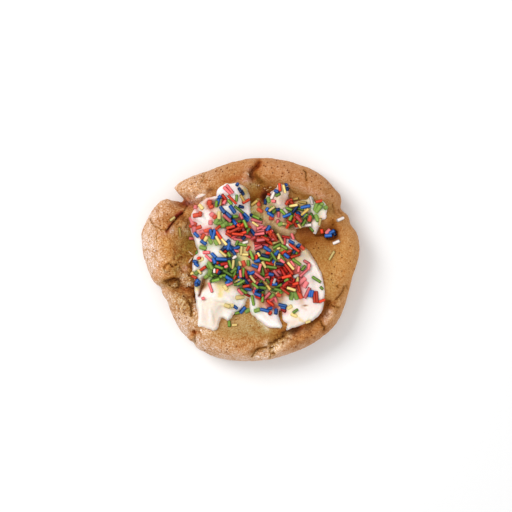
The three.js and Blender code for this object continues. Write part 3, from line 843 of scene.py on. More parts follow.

# Each colour's strands as x, y, turn, length. Bright ones first, then the ones in a deeper
# tone, partly darker sugar and partly painted shade on strands lying low, then the ones melting into the
# icing.
strands = {
    "red": {
        "bright": [
            (8.4, 8, -38, 4), (-11.3, 27.5, -50, 3), (-7.7, 26.3, -45, 5.3), (-1.7, 25.7, 30, 4),
            (-13.7, 11, -55, 4.5), (-14, 14, 40, 3), (-8.3, 14.3, 15, 4), (-6.7, 13, 25, 5),
            (-4, 14, 35, 4), (-8, 12, -20, 4), (-5.3, 11.3, -5, 5), (-3.3, 11.7, 20, 4),
            (-9.3, 11, -35, 3), (-5.3, 15.3, -50, 3), (-3.3, 15.3, 50, 3), (-0.8, 5, 60, 2.5),
            (-22.2, 0.8, 15, 1.6), (-20.3, -3.6, 33, 3.8), (-24.2, -7.5, -22, 2.8),
            (-14.3, -1.2, -20, 2), (-14.2, -4.8, 80, 2), (-6.5, -7.5, 60, 2), (-1.7, -11.3, 10, 3),
            (19.7, 1.8, 20, 5), (2.8, 1.2, 80, 2.5), (8.5, -1.6, -18, 3.8), (16.9, -4, -53, 5.8),
            (16, -7.2, 15, 4.4), (15.3, -13.5, -37, 4.8), (20, -10.3, 20, 3), (21.2, -11.7, -75, 5),
            (28, -16.1, -84, 5.2), (29.2, -16.1, -85, 5.2), (31.2, -17.8, 20, 3.2), (8.8, -18.7, -40, 4),
            (8.8, -23.3, 50, 1.8), (13, 31.7, -85, 3.6), (8.5, 28.7, -20, 1.6), (16.2, 25, 60, 2),
            (17.7, 26.2, 20, 2), (18.2, 25.2, -40, 2), (30, 25.5, 12, 3), (17.2, 16.3, -30, 2.5),
            (19.2, 17.2, 60, 3.5), (20, 15.7, -65, 3), (8.7, 11, -60, 5), (10.7, 10, -60, 4.5),
            (9.7, 11.3, -60, 4), (6.7, 9.3, -25, 4.5), (4.3, 9.5, 10, 4), (14.5, 3.3, 30, 2.4),
            (17.2, 3.7, 30, 2.4), (19.3, 5.2, -37, 5.8), (31.5, 12.7, -80, 2),
        ],
        "deep": [
            (6, 5.8, -25, 3), (10.2, 9.4, -55, 3.2), (2.4, 9.2, 0, 3), (-12, 25.5, 85, 3.3),
            (-10.8, 3.7, 30, 2), (-11.3, -1.7, 10, 3.2), (-1.7, -6, -75, 4.5), (-1.2, -15.3, -30, 3),
            (8.3, -4.8, -60, 3), (7.7, -6.3, 20, 3), (13, -4, 30, 3.4), (14.6, -5.6, -60, 3.6),
            (13.4, -7.6, 10, 3.4), (12, -8.6, -40, 3), (18, -5.6, 60, 3), (17.6, -9.6, -20, 3.4),
            (19.2, -8.3, 70, 3), (15.4, -10.6, 40, 3), (10, -6.8, -70, 3), (9.5, -9.5, 75, 3.6),
            (18.8, -11.6, 20, 3), (3.7, -16.3, -8, 3), (14.7, -22, -30, 2.8), (4.2, 7.5, 5, 5),
            (15.7, 10, -10, 3.6), (11.6, -4.6, 20, 2.8),
        ],
        "soft": [
            (21.7, -15, -65, 4), (-18, 24.9, 80, 1.8), (-16.9, 23.5, 20, 1.6), (-23.6, 19.5, 10, 2.8),
            (-21.8, 20, 75, 2.6), (-15.3, 18.8, 60, 2), (-25.8, 15, 40, 1.8), (-24.3, 15.3, 70, 3),
            (-20.5, 10.3, 60, 3), (-22.3, 14.3, 20, 2.8), (-18.3, 13, 15, 3.5), (26.2, 18.2, 70, 2.8),
            (-17.6, 25, 80, 2.6), (-17, 23.4, 30, 2.4), (17.6, 25, 0, 2.6), (9.3, 18.3, 0, 2.2),
            (3.7, 24.8, -70, 2.4), (4.3, 21.8, -35, 2.6), (22.8, 5.3, -40, 2.6), (-2.8, -1.5, -70, 2.6),
            (12.6, -15.2, -20, 2),
        ],
    },
    "pink": {
        "bright": [
            (4.6, 8.7, 6, 3.8), (-17.2, -12, -70, 4.6), (-8.7, 31, -51, 4.8), (-9.9, 30.3, -44, 4.6),
            (-11.1, 25.3, 60, 2.5), (-3.8, 19, -65, 3.3), (-10, 18.2, -42, 4.5), (-5.3, 9, -8, 4),
            (-25.7, 9.5, 0, 2.4), (-6.2, 4, -10, 2.5), (-19, 3.3, 0, 3.3), (-17.9, 0.7, -43, 4.3),
            (-10.3, -2.8, 30, 1.6), (-4.1, -6, -85, 3.3), (-9, -10.3, 25, 3), (-4.3, -13.8, -48, 3.4),
            (-20.4, -16.8, 20, 1.4), (4.3, -3.3, 75, 3.5), (4.3, -7.2, -36, 5.4), (24.8, -1, -30, 3.2),
            (25.7, -3, 80, 3), (23.5, -5.7, 42, 5), (21.2, -4, 80, 2.6), (7.6, -15.5, 47, 4),
            (24.9, -14.3, 65, 5.2), (11.2, -17.3, -70, 2.8), (11.4, -5.9, -50, 4), (12.8, -5.3, -50, 3),
            (12.5, 20, 88, 2.8), (12.2, 17, 70, 1.8), (2.8, 17.2, -15, 5), (4.3, 14, 20, 3),
            (6.3, 13.8, 30, 3), (4.8, 12.7, 10, 4), (4.3, 11.3, 10, 4.4), (3.8, 5.3, 25, 4),
            (18.7, 10.3, -70, 3), (10.4, 25.7, -5, 2), (18.5, -1.5, -55, 2.8), (14, -0.4, -40, 2.6),
        ],
        "deep": [
            (3.4, 6.4, 12, 3), (6.4, 6.6, -15, 3.2), (21.2, 18, -48, 3.8), (15.2, 8, 88, 3.4),
            (-6.8, 10.2, 20, 3.4), (-1.2, 10.4, -20, 3.4), (1.6, 9.6, 30, 3), (7, 12.4, -40, 3),
        ],
        "soft": [
            (-16.6, 19.8, 40, 2), (-17.2, 16.3, 90, 2), (-25.5, 17, -70, 4), (-24.3, 13.3, 90, 3),
            (34.3, 12.5, 45, 2.8), (-23.9, 23, 80, 2), (-21, 12.3, 20, 2.4), (-19.3, 11.7, -20, 2.4),
            (22.7, -9, 40, 4), (24.2, -10.7, 60, 3),
        ],
    },
    "green": {
        "bright": [
            (-5.8, 27, 90, 3), (-14.6, 24.6, 80, 3.4), (-8.7, 25.2, -50, 2.8), (-4.8, 22, -38, 5.3),
            (-6.5, 19, 0, 2.6), (-2, 15.7, -65, 4), (-1, 12.7, 60, 3), (-23.3, 3.3, 60, 1.8),
            (-5.7, 7.5, 70, 2.5), (-3.3, 6.7, -10, 3.5), (-9, 2.3, -60, 2.4), (-13.5, -3.1, -20, 3.6),
            (-8.7, -1.7, -70, 3.6), (-12, -7, 15, 3), (-14.7, -8.7, 15, 4), (-2.8, -5.3, 88, 4),
            (-4, -9.8, 30, 4), (-2.8, -13.5, -35, 3.6), (0.8, 2, -70, 4.5), (6.5, 0.4, -12, 4.7),
            (10.3, 1.5, -57, 4.4), (14.2, 0.8, -50, 3.5), (9.5, -3.1, -8, 4.5), (20.3, -0.9, -35, 4.6),
            (23.3, -3.5, 50, 3), (16, -8.7, 35, 2.3), (2.4, -11.2, -40, 3.8), (12.8, -11.1, 27, 3.6),
            (12.3, -13, -15, 3.4), (29, -8.5, -33, 4.6), (31.2, -12.2, -45, 1.8), (1.2, -17.7, -80, 4.6),
            (19.8, -22.2, 35, 2.8), (12.2, 28.5, 25, 2.6), (27, 13.5, -50, 2.6), (14.3, 21, -45, 3),
            (17, 22.3, -20, 3), (17.8, 18.3, 60, 2.6), (23.7, 16.5, 60, 3.4), (2.7, 18.7, -25, 4),
            (11.7, 6, 28, 4), (14.8, 5.7, -33, 3.8), (-9.1, -28, -87, 2.8), (-5.8, -23.2, 5, 2.2),
        ],
        "deep": [
            (-9.7, -5.7, -30, 4.5), (-13, -7.7, 15, 3.5), (-16.5, -8.8, 40, 2.5), (-11.3, -8, -50, 3),
            (-5, -10.5, 10, 4), (5.7, -5, -80, 4), (7.8, -9, -55, 2.5), (5.3, -12, -10, 4),
            (-15.6, -0.6, 50, 3), (-7, -4.4, 40, 3.2), (-15, -6.4, -20, 3), (10.7, 21.3, 50, 2.4),
            (3.8, 17.9, -20, 3),
        ],
        "soft": [
            (29.8, 22.3, 55, 4), (33, 22.8, 30, 1.6), (18.2, -15.7, 80, 3.6), (20, -15.5, -72, 3.8),
            (-14.7, 16.8, 60, 2.5), (-13, 16.2, 10, 3), (-11.2, 17, -60, 3.5), (-10.2, 15.4, -70, 3.2),
            (-8.6, 15.4, -20, 2.6), (-11.8, 15, 20, 2.6), (-17.5, 8.7, -60, 3.6), (29.3, 18.3, -70, 3.5),
            (28.8, 23.3, 70, 4), (30.7, 24, 45, 3), (-17.2, -2.5, -60, 4), (-17.5, -5.3, 75, 3.5),
            (-19, -7.2, 40, 2.5), (-14.7, 7.7, -60, 2.5), (-20.5, 5.3, -15, 3.2), (-23.3, -5.7, 40, 2),
            (9.7, -15.7, 50, 2.6), (3.2, -22, 20, 3), (-1.2, -22.3, 30, 2.4), (13.3, 15.7, 20, 2.2),
            (6.6, 10.2, 40, 1.6), (8.3, 26.3, -75, 2.6),
        ],
    },
    "blue": {
        "bright": [
            (-5.5, 32.9, 60, 1.5), (-13.8, 25.7, 80, 3), (-13.2, 27.5, 40, 1.6), (-7.6, 22.2, -55, 4.2),
            (-11.9, 21.8, -54, 4), (-9.6, 19.8, -43, 4.2), (-1.7, 19.3, -45, 3.5), (-2, 17.8, -20, 3),
            (-3.3, 18.5, -60, 3), (-6.8, 16.5, -50, 4), (-23.5, 11, -45, 2.8), (-17, 12, -80, 3),
            (-15.8, 11.3, 75, 4.5), (-20.3, 7.7, -35, 3), (-9.8, 7.7, 50, 3), (-10.3, 5.7, 30, 3),
            (-9.3, 6, 80, 4), (-8.3, 4.7, -50, 3), (-6, 5.3, 20, 3), (-7, 3.3, -60, 3),
            (-15.8, 2, -45, 3), (-12.5, 0.4, -3, 4.8), (-15.5, -0.5, -65, 3), (-23.9, -0.8, -20, 2.4),
            (-23.4, -2, -40, 2.4), (-23.2, -9.4, 60, 2.4), (-22.4, -10, 80, 2.4),
            (-23.2, -10.8, 10, 1.8), (-9.2, -8, -35, 3.6), (-9.5, -9.5, 35, 3), (-5, -4.2, 75, 3.2),
            (-0.8, -12.7, -15, 3), (-6.3, -20.7, -40, 2.2), (-3.2, -22, 50, 3.6), (11.6, 3, 48, 3),
            (16, 1.8, -40, 2.8), (3.2, -0.3, 10, 3), (2.1, -2.6, -22, 3), (0.8, -5.7, 25, 2.8),
            (9.2, -6.2, -12, 2.3), (26.1, -14.7, 82, 3), (27, -14.6, 78, 3), (3.5, -15, -20, 3.6),
            (14.3, -19.8, -12, 3.8), (14.6, -20.9, -14, 2.4), (6.4, -21.9, -14, 4),
            (8.7, -21.2, 15, 2.2), (11.4, -22.6, 85, 3), (11.7, 30, -20, 2.5), (15.7, 32.8, 0, 1.4),
            (21.2, 20.2, -30, 2.6), (16.2, 19.5, 20, 4), (24.3, 23.3, 12, 4.4), (7.5, 22.2, 60, 1.8),
            (9, 20, -33, 3.3), (8, 13.7, 60, 3), (1.3, 12, -55, 3.5), (7.5, 4.8, -35, 3.8),
            (18.2, 7.8, -30, 2.8), (21.2, 6.2, 40, 2.2), (36, 12.3, 30, 3), (34.5, 10.7, 5, 3.4),
        ],
        "deep": [
            (-4.3, 30.4, -60, 2.6), (-3.3, 29.4, -60, 2.6), (-3.8, 23.3, -15, 2.5), (-2.7, 9.7, 60, 2),
            (-9.2, 0.5, 20, 2), (-1.7, -9.3, -50, 3.4), (3.5, 3.2, 20, 2), (6.7, 1.8, -18, 3.6),
            (12.8, -1.7, -5, 3.6), (16, -9.7, 40, 2.4), (14.8, -10.7, 20, 2.4), (4.7, -10.7, -8, 2.8),
            (16.2, 31, 90, 1.6), (6.8, 25.5, 85, 2.4), (19.8, 22.2, 55, 3.8), (12.2, 22, 15, 1.8),
            (19.3, 3.5, 50, 1.6), (0.5, 19.7, 0, 1.4), (37, 11.4, -50, 2), (-12, 4.4, 40, 2.4),
            (-13.4, -5.4, 60, 2),
        ],
        "soft": [],
    },
    "yellow": {
        "bright": [
            (-12.9, 25.4, 90, 3.2), (-13.8, 8.7, -60, 4.2), (-11.2, 7.8, -50, 4), (-11.8, 2.8, -40, 4),
            (-3.8, 4, 85, 4), (-22, -5.2, -50, 2.6), (-25.2, -5.8, 40, 1.8), (-7.3, -2, 85, 4),
            (-5.3, -9, 28, 3.8), (3.8, 2.3, -60, 2), (12.7, 1.3, 80, 2.8), (6.1, -2, -58, 3.2),
            (1.2, -8.3, -52, 4), (15, 31, -75, 3.8), (19.2, 23.8, 10, 4), (30.5, 16.7, 80, 3.4),
            (21.5, 15.2, -55, 3), (11.3, 7.7, 18, 4), (35.8, 2, 60, 4.6), (-33.8, 17.9, 40, 2.8),
            (-4.3, -1.5, -70, 2.2), (20.7, -8.5, 88, 2.4), (2.3, 15.7, -35, 3.4), (-6.8, -28.5, 5, 2.4),
            (13.3, 9.3, -60, 5.5), (17.7, -2.5, -50, 4.2), (18, -12.6, -18, 4), (12.4, 5, 20, 1.6),
        ],
        "deep": [
            (-3.3, 27, -60, 3.4), (19.7, 26.7, 15, 3.6), (6.7, -9.8, -50, 2.6), (8.2, -12, -52, 2.8),
            (23, 25.2, -10, 4), (24, 21, 40, 4.5), (2, 25.1, 38, 3.6), (-30.7, 12.3, -85, 4.4),
        ],
        "soft": [
            (-4.5, -16.3, 8, 4), (-19.2, 9.3, 60, 2.6), (-13.4, 19.5, 85, 3.5), (-21.4, 23.2, -50, 3),
            (-21.3, 0.2, 20, 2.4), (-10.7, -12, -60, 2.4), (-10, -20, -20, 2.6), (-8.3, -20, 20, 2.4),
            (19.3, -24, -30, 3), (17.5, -20.7, 30, 2.4), (25.2, -26.8, 20, 2.4),
        ],
    },
    "white": {
        "bright": [
            (-2, 7.7, 20, 2.6), (-6.8, 1.2, 33, 2.1), (-15.5, -4.7, 90, 2), (20, -7, 25, 2.6),
            (10.7, -9, 70, 2.4), (10, 28.2, 65, 3.4), (15.5, 21.5, -50, 2.6), (25.8, 15.3, 5, 3.2),
            (17.3, 5.7, -45, 3.8), (39.5, 17.8, 24, 4), (37.7, 7.8, 24, 3.2), (26.7, 26, -75, 3.6),
        ],
        "deep": [], "soft": [],
    },
}

# Piles that hide the icing under them: x, y, wide, deep, turn, how many, the colours in them.
piles = [
    (-4.5, 12.6, 4.4, 2.4, 15, 22, ["red", "red", "pink"]),
    (-8.4, 4.4, 2.4, 2.2, 0, 11, ["blue", "green", "yellow", "blue"]),
    (-12, -4.6, 5.2, 2.8, -15, 28, ["green", "green", "blue", "green"]),
    (6, 0, 8, 3.2, -10, 40, ["green", "red", "blue", "yellow"]),
    (14.5, -6, 6, 5, -30, 60, ["red", "red", "red", "pink"]),
    (3, -9.6, 8, 3, -5, 34, ["green", "blue", "pink", "red"]),
    (7, 10.4, 5, 2.8, -10, 26, ["red", "pink", "red"]),
    (14, -12.6, 4, 1.8, -10, 14, ["green", "red", "yellow"]),
    (22, 20, 5, 2.8, -10, 12, ["green", "yellow", "blue", "green"]),
    (-7.6, 17.4, 4, 2.2, -45, 10, ["green", "blue", "pink"]),
    (16, 3, 5, 2.4, 0, 14, ["red", "green", "blue"]), (19, 17, 3.2, 2, 20, 10, ["red", "green", "yellow"]),
    (-3.6, -6.6, 3, 3, 0, 14, ["green", "red", "blue"]),
    (11.4, 21.8, 2.6, 1.4, 0, 3, ["blue", "green", "yellow"]),
    (5, -16, 5, 1.8, -20, 6, ["red", "green", "pink"]),
]


def kindOrder(one):
    # Melted strands are laid first and bright ones last.
    return ["soft", "deep", "bright"].index(one[1])


def allStrands():
    # Every strand as colour, kind, x, y, turn, length, the piles' hidden ones first.
    under = []
    for x, y, wide, deep, turn, count, colours in piles:
        c, s = math.cos(math.radians(turn)), math.sin(math.radians(turn))
        for n in range(count):
            out, way = math.sqrt(random.random()), random.uniform(0, 2 * math.pi)
            u, v = 1.15 * wide * out * math.cos(way), 1.15 * deep * out * math.sin(way)
            kind = random.choice(["bright", "bright", "deep"])
            under.append((colours[n % len(colours)], kind, x + u * c - v * s, y + u * s + v * c,
                          random.uniform(0, 180), random.uniform(2.4, 3.8)))
    shown = []
    for colour, kinds in strands.items():
        for kind, places in kinds.items():
            shown += [(colour, kind, *place) for place in places]
    random.shuffle(shown)
    shown.sort(key=kindOrder)
    return under + shown, len(under)


layout, hiddenCount = allStrands()


def dyeBleed(x, y):
    # The dye of the strands near each point, thin and deep, and how many strands are near. The deep
    # colour is dark for deep, blue and green strands, as painted shade in the gaps of piles.
    thin, deep, weight = np.zeros((len(x), 3)), np.zeros((len(x), 3)), np.zeros(len(x))
    nearest = np.full(len(x), 1e-6)
    for colour, kind, midX, midY, turn, length in layout:
        near = bell(np.hypot(x - midX, y - midY) / strand["bleedReach"])
        near = near * 1.6 if kind == "soft" else near
        bright, dark, run = sugarTones[colour]
        dye = dark if kind == "deep" or colour in ("blue", "green") else bright
        thin += (near ** 6)[:, None] * screenColour(run)
        deep += (near ** 6)[:, None] * screenColour(dye)
        weight += near
        nearest += near ** 6
    return thin / nearest[:, None], deep / nearest[:, None], weight


def strandForm():
    form = bmesh.new()
    bmesh.ops.create_cone(form, segments=strand["sides"], radius1=strand["radius"],
                          radius2=strand["radius"], depth=2, cap_ends=True)
    rims = [edge for edge in form.edges if abs(edge.verts[0].co.z - edge.verts[1].co.z) < 1e-6]
    bmesh.ops.bevel(form, geom=rims, offset=strand["endRound"], segments=2, profile=0.5,
                    affect="EDGES", material=-1)
    bmesh.ops.rotate(form, verts=form.verts, matrix=Matrix.Rotation(math.radians(90), 3, "Y"))
    mesh = bpy.data.meshes.new("strand")
    form.to_mesh(mesh)
    form.free()
    return mesh


def surfaceHeights(pieces, cell=0.28, reachOut=43):
    # How high the finished pieces stand, looked down on in a grid of small cells.
    ticks = np.arange(-reachOut, reachOut + cell, cell)
    heights = np.full((len(ticks), len(ticks)), 5.0)
    for piece in pieces:
        tree = BVHTree.FromObject(piece, bpy.context.evaluated_depsgraph_get())
        low, high = [np.array(corner) / mm for corner in (piece.bound_box[0], piece.bound_box[6])]
        for i, x in enumerate(ticks):
            if not low[0] < x + shift[0] < high[0]:
                continue
            for j, y in enumerate(ticks):
                if low[1] < y + shift[1] < high[1]:
                    hit = tree.ray_cast(((x + shift[0]) * mm, (y + shift[1]) * mm, 0.04), (0, 0, -1))[0]
                    if hit:
                        heights[i, j] = max(heights[i, j], hit.z / mm)
    return ticks, heights


def gridIndex(ticks, along):
    index = np.round((along - ticks[0]) / (ticks[1] - ticks[0])).astype(int)
    return np.clip(index, 0, len(ticks) - 1)


def layStrand(ticks, heights, hidden, kind, x, y, turn, length):
    # Finds where a strand comes to rest, marks it in the heights and returns its place.
    c, s = math.cos(math.radians(turn)), math.sin(math.radians(turn))
    along = np.linspace(-0.5, 0.5, 9) * max(length - 0.6, 0.6)
    i, j = gridIndex(ticks, x + along * c), gridIndex(ticks, y + along * s)
    under = heights[i, j]
    slope = np.clip(np.polyfit(along, under, 1)[0], -0.9, 0.9)
    radius, flat, sink = strand["radius"], 1, strand["sink"]
    if kind == "soft":
        radius, flat, sink = radius * strand["softWide"], strand["softFlat"], strand["softSink"]
    z = np.percentile(under - slope * along, 90) + radius - sink
    z = min(z, strand["highest"] - radius - abs(slope) * length / 2)
    if hidden and (z > under.min() + strand["hiddenRise"] or z > strand["hiddenTop"]):
        return None
    gridX, gridY = np.meshgrid(ticks, ticks, indexing="ij")
    box = (slice(max(i.min() - 4, 0), i.max() + 5), slice(max(j.min() - 4, 0), j.max() + 5))
    u = (gridX[box] - x) * c + (gridY[box] - y) * s
    v = (gridY[box] - y) * c - (gridX[box] - x) * s
    over = z + slope * u + flat * np.sqrt(np.clip(radius ** 2 - v ** 2, 0, None))
    inside = (abs(u) < length / 2) & (abs(v) < radius)
    heights[box] = np.where(inside, np.maximum(heights[box], over), heights[box])
    return z, slope, radius


def gridValue(ticks, values, x, y):
    # The value of the grid's cell under each place.
    i, j = (gridIndex(ticks, along) for along in (x, y))
    return values[i, j]


def shadeUnder(piece, ticks, crowd):
    # Paints shade into the colour of a piece where strands stand close above it.
    name = "icingColour" if "icingColour" in piece.data.attributes else "crustColour"
    count = len(piece.data.vertices)
    coords, colour = np.empty(count * 3), np.empty(count * 4)
    piece.data.vertices.foreach_get("co", coords)
    piece.data.attributes[name].data.foreach_get("color", colour)
    x, y, z = coords.reshape(-1, 3).T / mm
    below = gridValue(ticks, crowd, x - shift[0], y - shift[1]) - z
    shade = 1 - 0.2 * smooth(0.3, 1.7, below) * smooth(11, 13, z) * (np.hypot(x, y) < 41)
    colour = colour.reshape(-1, 4)
    colour[:, :3] *= shade[:, None] ** (0.8, 1.15, 1.5)
    piece.data.attributes[name].data.foreach_set("color", colour.ravel())


def makeStrands(pieces):
    template = strandForm()
    shape = np.array([vert.co[:] for vert in template.vertices])
    upward = np.array([(vert.normal.z + 1) / 2 for vert in template.vertices])
    ticks, heights = surfaceHeights(pieces)
    placed = {colour: [] for colour in strands}
    tones = {colour: [] for colour in strands}
    for n, (colour, kind, x, y, turn, length) in enumerate(layout):
        rest = layStrand(ticks, heights, n < hiddenCount, kind, x, y, turn, length)
        if not rest:
            continue
        z, slope, radius = rest
        along = shape[:, 0] + np.sign(shape[:, 0]) * (length / 2 - 1)
        bend = random.uniform(-0.012, 0.012)
        thick = radius / strand["radius"] * stout[colour] * random.uniform(0.88, 1.12)
        c, s = math.cos(math.radians(turn)), math.sin(math.radians(turn))
        side = shape[:, 1] * thick + bend * along ** 2
        flat = strand["softFlat"] if kind == "soft" else 1
        lean = math.atan(slope)
        level = along * math.cos(lean) - shape[:, 2] * math.sin(lean)
        up = z + along * math.sin(lean) + shape[:, 2] * thick * flat * math.cos(lean)
        placed[colour].append(np.stack([x + level * c - side * s, y + level * s + side * c, up], axis=1))
        depth = {"bright": 0, "deep": 1, "soft": 0}[kind]
        light = random.uniform(0.4, 0.8) if kind == "soft" else random.random()
        tone = np.tile([light, depth, kind == "soft", 0], (len(shape), 1))
        # the alpha is painted light: lighter on top and darker down the sides, more gently on melted
        # strands
        tone[:, 3] = 0.2 + 0.6 * upward ** 2 if kind == "soft" else 0.12 + 0.88 * upward ** 3
        tones[colour].append(tone)
    crowd = heights
    for _ in range(2):
        crowd = sum(np.roll(crowd, (i, j), (0, 1)) for i in range(-3, 4) for j in range(-3, 4)) / 49
    for piece in pieces:
        shadeUnder(piece, ticks, crowd)
    for colour in strands:
        for coords, tone in zip(placed[colour], tones[colour]):
            # painted shade on the parts of strands that lie low among others
            below = gridValue(ticks, crowd, coords[:, 0], coords[:, 1]) - coords[:, 2]
            tone[:, 3] *= 1 - 0.68 * smooth(-0.3, 1.6, below)
        form = bmesh.new()
        for _ in placed[colour]:
            form.from_mesh(template)
        setCoords(form, np.concatenate(placed[colour]))
        masks = {"strandTone": np.concatenate(tones[colour])}
        piece = finishPiece(colour + "Strands", form, masks)
        piece.data.materials.append(sugarMaterial(colour))
    bpy.data.meshes.remove(template)


